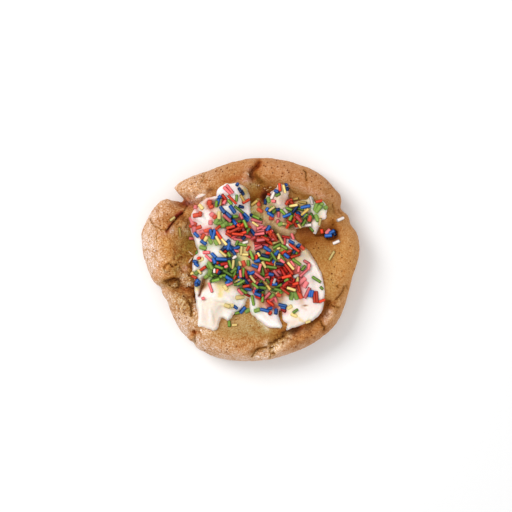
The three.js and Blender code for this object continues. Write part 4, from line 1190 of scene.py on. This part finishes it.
# The broad dollop of icing in the hollow.
dollop = {
    "name": "icingDollop", "replaces": "icing_dollop", "slot": "icing", "spacing": 0.34, "ragged": 0.3,
    "thick": 2.4, "edgeRound": 1.5, "level": 15.7, "levelWithin": 9, "soft": 0.4,
    "outline": [
        (-14.4, 28.2), (-14.9, 29.4), (-13.4, 31.4), (-11.4, 32.9), (-8.8, 33.5), (-5.6, 33.7),
        (-3, 32.6), (-1, 30.8), (-0.1, 28.6), (0.1, 26.6), (0.2, 24.2), (0.4, 20.8), (1.6, 18.7),
        (4.6, 17.5), (6.8, 15.6), (8.2, 13.6), (11, 11.2), (17.6, 10.4), (20.3, 8.5), (25.1, 5),
        (28, 0.8), (29.9, -2.8), (31.6, -6.9), (32.5, -11.9), (32.6, -17), (32.2, -20.4), (31.2, -23),
        (29.6, -24.9), (27.8, -26.1), (25.4, -27.4), (20.4, -29.2), (15.2, -31), (15.7, -29.6),
        (16.5, -28.4), (16, -27.6), (14.7, -26.9), (14.2, -25.6), (14.2, -23.6), (13.8, -22.4),
        (12.6, -22.2), (12.5, -25.2), (13.2, -27), (14.4, -29), (13.8, -30), (10.2, -29.7), (7.6, -29.2),
        (5.8, -28.2), (4.4, -26.7), (2.4, -25.3), (0.4, -24), (-0.4, -22), (0, -19.6), (-0.4, -17),
        (-1.2, -16.9), (-2.2, -19.8), (-4.2, -22), (-6.6, -22.8), (-7, -23.8), (-7.8, -24.2),
        (-7.5, -25.2), (-8.6, -26.2), (-10.2, -26.8), (-11.2, -25.4), (-12.8, -25.2), (-13.3, -26.6),
        (-13.8, -29.6), (-15, -30.4), (-16.2, -31.2), (-17.2, -30.1), (-19.2, -29.7), (-20.8, -28.7),
        (-22.9, -29.4), (-22.7, -26.8), (-22.6, -24.4), (-23.4, -22.6), (-23.6, -18.6), (-24, -14.6),
        (-24.4, -11), (-24, -9), (-25.3, -7.2), (-25.4, -5), (-25.2, -2), (-24.8, 0.8), (-24, 2.2),
        (-22.9, 2.8), (-23, 4.4), (-24, 7), (-25, 10.4), (-26.2, 13), (-26.3, 16.4), (-25.4, 20.4),
        (-24, 23.4), (-21.6, 25.8), (-18.4, 27.4), (-15.6, 28),
    ],
    "mounds": [
        (-7, 28, 6, 5, 0, 1.3), (-18, 18, 5, 5, 15, 1.1), (-3, 13, 5, 12, 35, -1),
        (9, -3, 12, 9, -20, 0.7), (26, -13, 5, 11, 12, 1), (-17, -21, 5, 7, -4, 0.9),
        (22, -23, 7, 4, 18, 0.8), (9, -25, 5, 2.4, -40, 0.8), (-12, 25.6, 6, 1.6, 30, -0.9),
        (-23.4, 6, 2, 9, -10, 0.9), (5, -17, 6, 3, 10, -1), (-13, 1, 7, 5, 0, 0.6),
        (-13, -9.5, 7, 2.5, -10, -0.6), (-8.5, -22, 3, 3, 30, 0.4), (-16, 25, 4, 2, 25, -0.8),
    ],
    # line, wide, deep: folds in the icing, and the slit that shows the dough
    "folds": [
        ([(-19.8, -8.6), (-20.8, -11.2), (-21.6, -13.6), (-22.2, -15.6)], 0.34, 2.6),
        ([(-20, -8.6), (-20.4, -10.6)], 0.9, 1.6),
        ([(-22.2, -15.6), (-22.8, -17.6)], 0.3, 0.5), ([(8.5, -19), (15, -24), (22, -27)], 1.1, 0.3),
        ([(-24, 12), (-21, 5), (-18.5, -1)], 1.3, -0.5),
        ([(-14.8, 28.3), (-13, 28.3), (-11, 28.7), (-9.6, 27.6)], 0.34, 0.7),
        ([(-6, -20.5), (-9, -17.5), (-13.5, -16.5)], 1.2, -0.4),
        ([(0.5, -19), (4, -19.5), (7, -22)], 0.9, 0.5),
        ([(-21.4, -18.6), (-19.6, -17.4), (-17, -17.3), (-14, -18.7), (-10, -18.6)], 0.4, 0.4),
        ([(-20.4, -20), (-19.8, -24), (-18.2, -28.6)], 0.5, 0.3),
        ([(-17, -19), (-15.8, -23.3), (-14.8, -28.4)], 0.5, 0.3),
        ([(-12.6, -20.6), (-11.6, -23.4)], 0.6, 0.4), ([(18, -19.5), (23, -21.5), (28, -21)], 0.9, 0.3),
        ([(25.6, -26), (26.4, -24.4), (28, -22.6), (30, -21.2)], 0.34, 0.5),
        ([(18.4, -24), (20.8, -24.8), (24.4, -27.4)], 0.35, 0.35),
        ([(26, -2), (28.4, -8), (29, -14)], 1, 0.35),
        ([(-20.6, 20.6), (-18.4, 22.4), (-16, 21.6), (-14.6, 20)], 0.4, 0.6),
        ([(-22.4, 22), (-19.4, 23.6), (-16, 24.6)], 1.2, 0.5), ([(23.4, -20), (24.6, -20.2)], 0.3, 0.7),
        ([(-21.8, -2), (-20, -6), (-20.5, -9)], 0.8, 0.3), ([(-10, -14), (-6, -16), (-3, -15.4)], 0.8, 0.3),
        ([(6, -22.4), (8.6, -25.6), (11.6, -28)], 0.7, -0.4),
        ([(7.4, -16.8), (9.4, -19.4), (12.2, -20.8)], 0.7, 0.7),
    ],
    # tone, share, then x, y, wide, deep, turn
    "paint": [
        ("white", 0.9, [(-12.6, 13), (-11, 10.6), (-9.4, 8.8)], 1.2),
        ("white", 0.85, [(-18, 7), (-15, 4.8), (-13, 2.6)], 1.3),
        ("white", 0.95, [(-19.6, -1), (-20.6, -5), (-20.2, -8.4)], 1.1),
        ("white", 0.6, -12.6, 27, 2, 0.8, 0), ("white", 0.8, [(-11.6, 23), (-10.4, 21.4)], 0.6),
        ("grey", 0.9, -9.2, 21.2, 1.4, 1.6, -50), ("blush", 0.85, -6, 8.6, 2.4, 1.4, 20),
        ("white", 0.8, -20.6, 17.4, 3, 3.4, 0),
        ("white", 0.8, [(-1.4, 24), (-1.2, 20.6), (0.6, 18.4)], 0.6), ("blush", 0.6, -3, 26, 2, 3.4, 20),
        ("khaki", 0.7, 3, 3, 10, 5.5, -10), ("amber", 0.75, 0.6, 8, 2, 2.6, 0),
        ("butter", 0.85, -2, 3, 1.6, 3.4, 5), ("khaki", 0.8, 9, 8.4, 3, 1, 15),
        ("khaki", 0.8, 12, 5, 2.5, 1.5, 0), ("amber", 0.8, 16, 0.6, 3.6, 1.6, -25),
        ("butter", 0.8, 21, 0.6, 1.8, 1, -30), ("amber", 0.6, -1.6, -2.6, 1.4, 1.4, 0),
        ("amber", 0.5, 8, -3, 9, 4, -20),
        ("white", 0.7, [(0.4, 18), (1.4, 14.6), (2.4, 13)], 0.7), ("white", 0.6, 1.6, 5.6, 0.5, 1.8, 10),
        ("white", 0.7, [(19.6, 9.6), (20.4, 7)], 0.7),
        ("slit", 0.9, [(12.4, 11.9), (13.4, 10.4), (14.4, 8.8)], 0.3),
        ("slit", 0.8, [(12.4, 11.9), (15, 11.3)], 0.25), ("khaki", 0.5, -12, -7, 5, 1.6, -20),
        ("cream", 0.95, -17.4, -24, 3.4, 6, -4), ("blush", 0.5, -19.6, -23, 1, 5, 0),
        ("blush", 0.4, -12.4, -19.4, 3, 1.2, 0), ("peach", 0.4, -15, -27, 0.8, 2.4, -8),
        # the cream line under the fold is painted shade
        ("cream", 0.6, [(-20.6, -19.4), (-17.6, -18), (-14.6, -19)], 0.9),
        ("white", 0.7, [(-17.4, -22), (-17.6, -27)], 0.5), ("cream", 0.6, -12.6, -21, 1.2, 3, 20),
        # the blush on the shoulder below the knob is painted shade
        ("blush", 0.8, -18.6, 25.6, 4, 1.6, 22), ("tan", 0.6, -18.8, 23.6, 1.6, 1, 0),
        ("tan", 0.7, -14.6, 22.2, 1.6, 1.4, 0), ("blush", 0.5, -6, 32.6, 4, 1.6, -10),
        ("khaki", 0.95, -1.9, 30.2, 1.2, 2, 20), ("khaki", 0.7, -3.2, 27, 1, 1.5, 30),
        ("leaf", 0.9, -13, 16.2, 2.4, 1.5, 10), ("leaf", 0.85, -17, 8.2, 1.3, 1.8, -20),
        ("leaf", 0.5, -14.2, 7, 1.6, 1, 0), ("leaf", 0.7, -20.4, 5.5, 1.5, 0.9, -15),
        ("leaf", 0.85, -16.9, -3, 1.4, 3.2, 10), ("leaf", 0.75, -18.6, -7, 1.4, 1.1, 20),
        ("khaki", 0.6, -20.4, 6.8, 1.2, 0.8, 0), ("khaki", 0.6, -14.6, 7.8, 1.4, 1, 0),
        ("khaki", 0.7, -2, 3.6, 1.5, 3, 5), ("rust", 0.5, -2.6, -2, 1.2, 1.6, 0),
        ("cherry", 0.95, 4, -7.5, 5, 2.4, -25), ("cherry", 0.95, 11.4, -7, 4.4, 3.6, 0),
        ("cherry", 0.9, 6.4, 9.4, 4.6, 2.4, 0), ("cherry", 0.9, -6, 11.6, 5, 1.4, 10),
        # the dark green spots are painted shade in the gaps of piles
        ("cherry", 0.9, 16.6, -9.6, 3, 3, 0), ("pine", 0.8, -9.4, -5, 4.2, 2.2, -10),
        ("pine", 0.5, -11, -1.6, 3, 1.2, 0), ("pine", 0.5, 8, 1.6, 3.4, 1.2, -10),
        ("blush", 0.6, -5.6, 8.6, 2, 1.4, 20), ("rose", 0.9, -19.4, 12.6, 3, 1.6, 10),
        ("rose", 0.7, -25, 15.4, 1.2, 2, 10), ("rose", 0.8, -23.8, 23.2, 0.9, 1.1, 0),
        ("rose", 0.6, -16.8, 17.2, 0.8, 2, -10), ("rust", 0.85, -17.4, 24.4, 1.3, 1.7, 10),
        ("rust", 0.85, -5.6, 12.6, 4.6, 2.2, 12), ("rust", 0.8, 7.5, 10.6, 3, 2, -20),
        ("rose", 0.9, 4.4, 14, 3, 1.8, -30), ("rust", 0.9, 14.6, -7, 4.6, 3.6, -30),
        ("rust", 0.9, 21.6, -12.8, 1.4, 4, 8), ("rose", 0.6, 23.4, -9.6, 1.4, 1.8, -30),
        ("tan", 0.7, 22.2, -18, 0.7, 1.5, 20),
        ("rust", 0.9, [(7, -16.6), (9.4, -19.2), (12, -20.6)], 0.7),
        ("rust", 0.8, [(5, -16.6), (4.9, -21)], 0.35), ("tan", 0.9, 5.4, -18.9, 1.7, 2.1, 0),
        ("rose", 0.6, 7.4, -19.4, 2, 1.4, 0), ("ruby", 0.8, [(7.2, -16.8), (8.6, -18.6), (10.2, -20)], 1.2),
        ("rust", 0.8, [(8, -20.8), (12, -20.6)], 0.8),
        ("tan", 0.9, 12.4, -17.6, 1.6, 2.4, -15), ("rust", 0.7, 12.8, -15.2, 1.4, 0.8, -20),
        ("tan", 0.7, 14.4, -16.4, 1, 1.6, -30), ("ruby", 0.6, [(5, -17), (4.8, -20.6)], 0.5),
        ("amber", 0.4, -5, -1.4, 1.6, 2.2, 0), ("rose", 0.5, -5, 15, 1.6, 3, 0),
        ("blush", 0.5, -9, 8.4, 1.6, 2.4, 0), ("rose", 0.6, 10.6, -17.3, 1.6, 1, -30),
        ("rust", 0.5, 13, -15.2, 1.4, 0.8, -20), ("tan", 0.7, 13, -17.6, 1.4, 1.1, 0),
        ("rose", 0.6, 15.2, -22.4, 1.5, 0.9, -35), ("khaki", 0.7, 8.4, -12, 1.2, 1.8, 20),
        ("leaf", 0.8, 4.6, -12, 2.4, 1.8, 0), ("leaf", 0.8, -6.6, -9.8, 2.6, 1.2, 15),
        ("leaf", 0.7, -3.6, -13, 2, 1, -35), ("leaf", 0.7, 12, -12.6, 1.8, 1, -10),
        ("leaf", 0.6, 3.4, -22, 1.7, 1, 10), ("leaf", 0.5, 9.6, -15.6, 1.8, 0.9, 50),
        ("leaf", 0.45, 19, -15.6, 1.2, 1.4, 0), ("leaf", 0.5, 6, 0, 3, 1, -12),
        ("butter", 0.95, -12, -11.4, 2.8, 1.6, -20), ("butter", 0.95, [(-12.8, -11.4), (-13, -15.2)], 0.9),
        ("butter", 0.95, [(-13.6, -10.6), (-10.4, -12), (-9.8, -13.6)], 0.6),
        ("khaki", 0.4, -12.6, -10.2, 1.6, 0.5, -15), ("butter", 0.9, -23, -12.4, 1, 1.2, 20),
        ("leaf", 0.6, -23.6, -11.2, 0.8, 0.5, -30), ("butter", 0.8, -4.3, -16.4, 2.2, 0.8, 8),
        ("butter", 0.8, -9.4, -20, 2, 0.8, -15), ("butter", 0.9, 19.2, -23.6, 1.2, 1, 0),
        ("butter", 0.9, [(19.6, -24.4), (23.2, -26.6)], 0.35),
        ("butter", 0.9, 25.2, -26.9, 1, 0.6, 30), ("butter", 0.5, 17.6, -20.8, 1, 1.2, 20),
        ("khaki", 0.6, 25.4, 2.4, 1.9, 2, 40), ("butter", 0.5, 24, 4.6, 1.6, 1, -40),
        ("khaki", 0.5, -1.4, -19.4, 0.8, 1.8, 0), ("white", 0.8, -4.2, -18.8, 1.6, 2.4, -30),
        ("butter", 0.8, -2.4, -15.6, 1.4, 0.9, 0), ("peach", 0.6, -6, -12.4, 1.6, 1, -30),
        ("blush", 0.4, 8, -25, 3, 2, -30), ("tan", 0.5, -7, -12, 2, 0.9, -10),
        ("blush", 0.6, 29, -10, 2.6, 8, 6), ("blush", 0.5, 27, -20, 5, 3.4, 20),
        ("peach", 0.55, 18.6, -27.6, 3, 1.6, 20), ("grey", 0.6, 28.2, -24.2, 1.6, 1, 45),
        ("slit", 0.8, 24, -20, 0.6, 0.25, 5),
        ("peach", 0.6, [(22.2, -20.8), (24.4, -22)], 0.3), ("blush", 0.4, -16.6, -11.8, 2.4, 1.4, 0),
        ("blush", 0.35, -20, 16, 4, 5, 0), ("butter", 0.95, -2.2, 1.6, 1.9, 3.4, 15),
        ("pine", 0.8, -6, -0.4, 1, 1.6, 0), ("pine", 0.7, -6.4, -3.6, 1, 1.4, 0),
        ("white", 0.8, 0.2, 1.6, 0.6, 1.8, 10), ("white", 0.9, -10.6, 8.8, 1.8, 2.6, 35),
        ("tan", 0.5, -0.6, 7.2, 1.4, 1.6, 0), ("rust", 0.8, 8.6, -19.2, 2.6, 1, -38),
        ("tan", 0.7, 5.2, -19, 1.1, 1.7, 0),
        ("rust", 0.7, [(-21.2, -12.4), (-22, -15.4)], 0.35), ("slit", 0.9, -20.2, -10.4, 1, 1.6, -20),
        ("tan", 0.5, -19.6, -9.6, 0.8, 0.8, 0),
    ],
}

# The smaller patch of icing beside it.
patch = {
    "name": "icingPatch", "replaces": "icing_patch", "slot": "icing", "spacing": 0.3, "ragged": 0.4,
    "thick": 1.6, "edgeRound": 1.4, "level": 15.9, "levelWithin": 6, "soft": 0.5,
    "outline": [
        (12.2, 33.4), (14.3, 33), (16.6, 33.2), (16.9, 30), (16.7, 27), (18.4, 26), (20.8, 25.2),
        (22.2, 26.2), (25.4, 26.4), (26.2, 28), (27.2, 27.2), (27.7, 25.4), (28.8, 25.2), (31.4, 26.2),
        (33, 24.4), (33.7, 22.6), (33.2, 21.4), (33.5, 20), (33, 18), (31.6, 17.6), (30.8, 16.2),
        (30.6, 14.4), (29.6, 12.6), (28.2, 10.6), (27.5, 12.6), (27, 14.4), (24.2, 14.4), (21.1, 13.8),
        (17.4, 14.4), (13.4, 14.2), (9.8, 15.4), (8.6, 18.4), (7.4, 21), (6.8, 23), (6.3, 25.4),
        (7.2, 27.6), (8.6, 29.6), (11.3, 31.2),
    ],
    "mounds": [
        (13, 28, 3.4, 4, 0, 1), (31, 20, 3, 3, -30, 0.6), (21, 20, 5, 3, 0, -0.7),
        (13, 18, 4, 2, 0, -0.5), (28.5, 14, 1.4, 3, 20, 0.6), (29.5, 23, 2, 2.4, 60, 0.6),
    ],
    "folds": [
        ([(17, 26), (19, 23), (18, 20)], 1, 0.7), ([(9, 24), (12, 23), (15, 24)], 0.9, 0.6),
        ([(24, 18), (27, 17.4), (30, 19)], 0.8, 0.4), ([(13, 24.6), (13.4, 28), (14.6, 31.6)], 0.8, -0.4),
    ],
    "paint": [
        ("peach", 0.85, 13.4, 26, 3, 5, 0), ("peach", 0.9, 12.4, 17, 3.4, 3, 0),
        ("khaki", 0.8, 9, 24, 2.4, 1.6, 0), ("khaki", 0.9, 22.6, 24.4, 3.6, 2, 10),
        ("khaki", 0.8, 22, 21, 2, 3, 0), ("amber", 0.6, 19.6, 26.2, 2.4, 0.9, 15),
        ("olive", 0.5, 24, 27, 2, 0.7, 0), ("leaf", 0.95, 29.4, 22.6, 1.7, 2.4, -25),
        ("leaf", 0.9, 29.2, 18.6, 1, 1.6, 0), ("leaf", 0.9, 32.8, 22.8, 0.9, 0.9, 0),
        ("leaf", 0.6, 24, 16.8, 1.6, 2, -30), ("leaf", 0.6, 16.6, 21.6, 2, 1.4, 0),
        ("rust", 0.95, 17.6, 25, 1.5, 1.3, 0), ("rust", 0.9, 19.4, 16.6, 2.2, 1.2, -10),
        ("rust", 0.8, 26.2, 18.4, 0.9, 1.4, 0), ("khaki", 0.8, 30.8, 18, 0.6, 1.4, 0),
        ("rose", 0.6, 12.3, 17, 1, 0.8, 20), ("leaf", 0.4, 13.6, 15.8, 1.2, 0.8, 0),
        ("blush", 0.6, 32, 20, 1.4, 2, 0), ("blush", 0.4, 28.4, 15, 1.6, 3, 0),
        ("grey", 0.7, [(26.6, 27.4), (27.2, 24), (27, 20)], 0.5),
        ("tan", 0.3, 15, 20, 5, 2.4, 0), ("blush", 0.5, 25, 19.4, 3, 1.6, 0),
        ("white", 0.5, 13.4, 24.2, 1.8, 1.2, 0), ("tan", 0.6, 21, 15.6, 3, 1.6, 0),
    ],
}

# The melted icing, clear and glossy, that runs between the dollop and the patch.
film = {
    "name": "meltedIcing", "slot": "glaze", "spacing": 0.34, "ragged": 0.5,
    "thick": 0.5, "edgeRound": 1.2, "level": 14.2, "levelWithin": 5, "soft": 0.45,
    "outline": [
        (-1.4, 23), (0.4, 24.2), (2, 25.8), (3.2, 27), (4.4, 26.8), (5.2, 25.2), (7, 24.6), (10, 25),
        (13, 20.4), (17, 16.4), (20.2, 15), (20.4, 12.8), (19.6, 11), (17.6, 9.6), (11, 9.8), (5.5, 12),
        (1, 16), (-1.5, 20),
    ],
    "mounds": [(3.4, 22, 2.4, 3, 0, 0.5), (7.4, 17.6, 1.8, 2.6, -20, 0.9), (15, 13.4, 3.4, 1.6, -10, 0.6)],
    "folds": [
        ([(5.4, 25), (5.2, 21), (5.4, 18), (7, 15.6)], 0.34, 0.6),
        ([(9.7, 19), (9.5, 16), (10.4, 13.6)], 0.34, 0.5),
    ],
    "paint": [
        ("moss", 0.9, 3, 21, 2.6, 3.2, 0), ("khaki", 0.8, 3, 25, 2, 1.6, -40),
        ("moss", 0.6, 10, 13, 3, 1, -30), ("leaf", 0.7, 3, 18.8, 2, 1, -10),
        ("rust", 0.8, 4.2, 24.4, 0.8, 1.1, -10), ("rust", 0.6, 4.6, 21.6, 1.4, 0.8, -35),
        ("rose", 0.5, 4.4, 17, 2, 0.9, -15), ("tan", 0.8, 7.4, 17.6, 1.7, 2.4, -20),
        ("peach", 0.5, 15.6, 13, 4, 1.6, -10), ("amber", 0.5, 9.8, 20.6, 0.6, 1.6, 0),
    ],
}

icingRelief = [(0.8, 5.5, 31, 2), (0.45, 2.2, 32, 1)]     # rise, size, seed, detail

icingTones = {
    "white": (246, 239, 235), "cream": (235, 220, 198), "blush": (235, 211, 199), "peach": (218, 180, 146),
    "grey": (222, 216, 208), "tan": (200, 160, 112), "amber": (188, 130, 72), "butter": (236, 212, 138),
    "khaki": (192, 162, 78), "olive": (150, 142, 66), "leaf": (112, 156, 62),
    "rose": (224, 98, 102), "rust": (196, 56, 40), "slit": (128, 74, 38), "glaze": (182, 144, 90),
    # the dark green tone is painted shade among green and blue strands
    "moss": (136, 124, 40), "ruby": (150, 30, 22), "cherry": (228, 50, 34), "pine": (52, 82, 34),
}


def outlineOf(shape):
    # The icing's rounded edge with a little unevenness of its own.
    points = roundOff(shape["outline"], 2)
    flat = np.column_stack([points, np.zeros(len(points))])
    uneven = np.column_stack([lumps(flat, 1.5, 21, 2), lumps(flat, 1.5, 22, 2)])
    return points + shape["ragged"] * uneven


def slabForm(outline, spacing):
    # A closed slab, 1 high, with a fine grid inside the outline.
    low, high = outline.min(axis=0) - spacing, outline.max(axis=0) + spacing
    count = np.ceil((high - low) / spacing).astype(int)
    form = bmesh.new()
    bmesh.ops.create_grid(form, x_segments=count[0], y_segments=count[1], size=1)
    points = coordsOf(form)
    points[:, :2] = low + (points[:, :2] + 1) / 2 * (high - low)
    away, nearX, nearY = nearestOn(outline, points[:, 0], points[:, 1])
    keep = isInside(outline, points[:, 0], points[:, 1]) & (away > 0.3 * spacing)
    setCoords(form, points)
    bmesh.ops.delete(form, geom=[vert for vert, kept in zip(form.verts, keep) if not kept], context="VERTS")
    lone = [vert for vert in form.verts if len(vert.link_faces) < 2]
    bmesh.ops.delete(form, geom=lone, context="VERTS")
    points = coordsOf(form)
    away, nearX, nearY = nearestOn(outline, points[:, 0], points[:, 1])
    edge = np.array([vert.is_boundary for vert in form.verts])
    points[edge, 0], points[edge, 1] = nearX[edge], nearY[edge]
    setCoords(form, points)
    raised = bmesh.ops.extrude_face_region(form, geom=form.faces[:], use_keep_orig=True)["geom"]
    raised = [part for part in raised if isinstance(part, bmesh.types.BMVert)]
    bmesh.ops.translate(form, verts=raised, vec=(0, 0, 1))
    return form


def makeIcing(shape):
    outline = outlineOf(shape)
    form = slabForm(outline, shape["spacing"])
    points = coordsOf(form)
    x, y, upper = points[:, 0], points[:, 1], points[:, 2] > 0.5
    inset = lineDistance(outline, x, y)
    ground = crustHeight(x, y)
    flat = np.stack([x, y, 0 * x], axis=1)
    relief = shape["soft"] * unevenness(flat, icingRelief) + 0.07 * lumps(flat, 0.9, 33)
    relief += moundsAt(x, y, shape["mounds"])
    for line, wide, deep in shape["folds"]:
        relief -= deep * bell(lineDistance(line, x + 0.3 * lumps(flat, 2, 36), y) / wide)
    rise = blend(ground, shape["level"], smooth(0, shape["levelWithin"], inset))
    rise += (shape["thick"] + relief) * quarterRound(inset + 0.05, shape["edgeRound"])
    crest = 19     # above this height the icing rises more gently
    rise = np.where(rise > crest, crest + 0.4 * (rise - crest), rise)
    points[:, 2] = np.where(upper, np.maximum(rise, ground - 0.2), ground - 0.6)
    setCoords(form, points)
    bmesh.ops.recalc_face_normals(form, faces=form.faces)
    melted = shape["slot"] == "glaze"
    colour = np.tile(screenColour(icingTones["glaze" if melted else "white"]), (len(x), 1))
    if not melted:     # dye runs out of the strands into white icing
        thin, full, near = dyeBleed(x, y)
        colour = blend(colour, thin, np.minimum(0.1 * near ** 2, 0.6)[:, None])
        # under crowded strands the icing takes their dye, dark as painted shade where they are blue, green
        # or deep
        colour = blend(colour, full, (0.9 * smooth(1.2, 2.6, near))[:, None])
    wander = 0.5 * np.stack([lumps(flat, 1.6, 34, 2), lumps(flat, 1.6, 35, 2)])
    colour = paintSpots(colour, x + wander[0], y + wander[1], shape["paint"], icingTones)
    piece = finishPiece(shape["name"], form, {"icingColour": colour}, shape.get("replaces"))
    piece.data.materials.append(glazeStuff if melted else icingStuff)
    return piece


# Heaps of crumbs as x, y, wide, deep, turn, how many, from size, to size, and 1 for pale ones.
crumbs = [
    (-28, -8.6, 1.8, 1.8, 10, 14, 0.4, 0.8, 1), (-25.6, -15.5, 1.2, 3.6, 0, 10, 0.3, 0.5, 0),
    (-33.4, -11, 1.4, 0.8, 0, 6, 0.35, 0.6, 0), (12.2, -36.6, 2.2, 1, 40, 22, 0.3, 0.6, 1),
    (4.6, -40, 3, 1, 14, 14, 0.3, 0.6, 1), (34, -24.2, 1, 1.6, -40, 8, 0.2, 0.4, 0),
    (-20, -31, 3, 0.9, 0, 12, 0.3, 0.6, 1), (38, -19, 2, 1.2, 10, 6, 0.3, 0.5, 0),
    (7.4, 31.4, 1.6, 0.8, 0, 9, 0.25, 0.5, 1), (-27, 24.6, 2, 0.8, 10, 8, 0.4, 0.8, 0),
    (-24.4, -22, 0.5, 2, 0, 10, 0.3, 0.5, 1), (3.2, 33, 1.4, 1, 0, 6, 0.25, 0.45, 1),
    (-20.2, -10, 0.9, 1.2, -20, 7, 0.3, 0.6, 1), (23.6, 12.6, 2, 1.2, 0, 6, 0.25, 0.45, 0),
]

# Bits of icing on the dough as x, y, half length, half width, half height, turn, tone.
flecks = [
    (-20.9, 28.4, 2.9, 0.85, 0.5, 27, "blush"), (-0.9, 37.6, 0.9, 0.3, 0.3, -60, "peach"),
    (-3.2, 35.4, 0.4, 0.3, 0.3, 0, "peach"), (3.8, 32.8, 0.4, 0.3, 0.3, 20, "peach"),
    (9, 31.9, 0.7, 0.25, 0.3, 10, "tan"), (6.4, 31.4, 0.5, 0.25, 0.3, -30, "tan"),
    (7.6, 30.7, 0.6, 0.2, 0.3, 20, "tan"), (-26, 2.9, 1.5, 0.35, 0.3, -40, "peach"),
    (-26.4, -0.3, 1.8, 0.4, 0.35, 56, "peach"), (12.2, 13.2, 0.9, 0.5, 0.4, 20, "cream"),
]


def addBlob(form, place, half, turn, seed, uneven):
    # Adds one lumpy pebble and gives back its number of points.
    made = bmesh.ops.create_icosphere(form, subdivisions=2, radius=1)["verts"]
    ball = np.array([vert.co[:] for vert in made])
    ball *= 1 + uneven * lumps(ball + seed, 0.9, seed)[:, None]
    c, s = math.cos(math.radians(turn)), math.sin(math.radians(turn))
    x, y, z = (ball * half).T
    for vert, co in zip(made, np.stack([x * c - y * s, x * s + y * c, z], axis=1) + place):
        vert.co = co
    return len(made)


def crumbColour(x, y, pale):
    # The colour of the dough at one place, taken part of the way to pale crumb.
    under = screenColour(crustTones["golden"])[None]
    under = paintSpots(under, np.array([x]), np.array([y]), crustPaint, crustTones)
    return stain(under, crustTones["crumb"], random.uniform(0.1, 0.6) if pale else 0.1)


def makeCrumbs(ground):
    cell, reachOut = 0.4, 46
    ticks, heights = surfaceHeights([ground], cell, reachOut)
    form, colours = bmesh.new(), []
    for x, y, wide, deep, turn, count, small, large, pale in crumbs:
        c, s = math.cos(math.radians(turn)), math.sin(math.radians(turn))
        for n in range(count):
            u, v = random.gauss(0, wide * 0.6), random.gauss(0, deep * 0.6)
            size = random.uniform(small, large)
            px, py = x + u * c - v * s, y + u * s + v * c
            half = (size, size * random.uniform(0.6, 0.9), size * 0.6)
            place = (px, py, gridValue(ticks, heights, px, py) - 0.2 * size)
            points = addBlob(form, place, half, random.uniform(0, 180), n * 3.7 + x, 0.3)
            colour = crumbColour(px, py, pale)
            colours.append(np.tile(colour * random.uniform(0.8, 1.15), (points, 1)))
    masks = {"crustColour": np.concatenate(colours),
             "crustMasks": np.tile([0.1, 0.5, 0.9], (len(form.verts), 1)),
             "crustLines": np.tile([4.0, 4.0, 0.0], (len(form.verts), 1))}
    piece = finishPiece("crumbs", form, masks)
    piece.data.materials.append(crustStuff)
    form, colours = bmesh.new(), []
    for n, (x, y, long, wide, high, turn, tone) in enumerate(flecks):
        place = (x, y, gridValue(ticks, heights, x, y) + 0.15 * high)
        points = addBlob(form, place, (long, wide, high), turn, n * 2.3, 0.3)
        colours.append(np.tile(screenColour(icingTones[tone]), (points, 1)))
    chips = finishPiece("icingFlecks", form, {"icingColour": np.concatenate(colours)})
    chips.data.materials.append(icingStuff)
    return [piece, chips]


# The camera straight above, and the brightness of the sky round it.
view = {"lens": 110, "sensor": 36, "frameWide": 225.5, "aim": (2.64, 1.76), "midHeight": 12,
        "sky": 0.66}

# Each light's place, size and power.
lights = {"key": ((-0.34, 0.24, 0.5), 0.3, 2.5), "fill": ((0.3, -0.3, 0.6), 0.6, 1)}


def makeCamera():
    camera = bpy.data.cameras.new("camera")
    camera.lens, camera.sensor_width = view["lens"], view["sensor"]
    eye = bpy.data.objects.new("camera", camera)
    far = view["frameWide"] * view["lens"] / view["sensor"]
    aimX, aimY = shift[0] + view["aim"][0], shift[1] + view["aim"][1]
    eye.location = (aimX * mm, aimY * mm, (far + view["midHeight"]) * mm)
    bpy.context.scene.collection.objects.link(eye)
    bpy.context.scene.camera = eye


def makeLights():
    world = bpy.data.worlds.new("studio")
    bpy.context.scene.world = world
    world.use_nodes = True
    background = world.node_tree.nodes["Background"]
    background.inputs["Color"].default_value = (1, 1, 1, 1)
    background.inputs["Strength"].default_value = view["sky"]
    for name, (place, size, power) in lights.items():
        light = bpy.data.lights.new(name, "AREA")
        light.size, light.energy = size, power
        lamp = bpy.data.objects.new(name, light)
        lamp.location = place
        lamp.rotation_euler = Vector(place).to_track_quat("Z", "Y").to_euler()
        bpy.context.scene.collection.objects.link(lamp)
    bpy.context.scene.view_settings.view_transform = "Standard"
    print("camera and lights are up")


def makeFloor():
    form = bmesh.new()
    bmesh.ops.create_grid(form, x_segments=2, y_segments=2, size=3)
    mesh = bpy.data.meshes.new("floor")
    form.to_mesh(mesh)
    form.free()
    floor = bpy.data.objects.new("floor", mesh)
    floor.location = (0, 0, cadLow[2] - 0.0002)
    material = bpy.data.materials.new("floor")
    material.use_nodes = True
    shader = material.node_tree.nodes["Principled BSDF"]
    shader.inputs["Base Color"].default_value = (0.9, 0.9, 0.9, 1)
    shader.inputs["Roughness"].default_value = 0.9
    mesh.materials.append(material)
    bpy.context.scene.collection.objects.link(floor)


makeCamera()
makeLights()
makeFloor()
crustStuff, icingStuff, glazeStuff = crustMaterial(), icingMaterial(), glazeMaterial()
crust = makeCrust()
iced = [makeIcing(dollop), makeIcing(patch), makeIcing(film)]
bits = makeCrumbs(crust)
makeStrands([crust] + iced + bits)
print("the cookie is dressed")
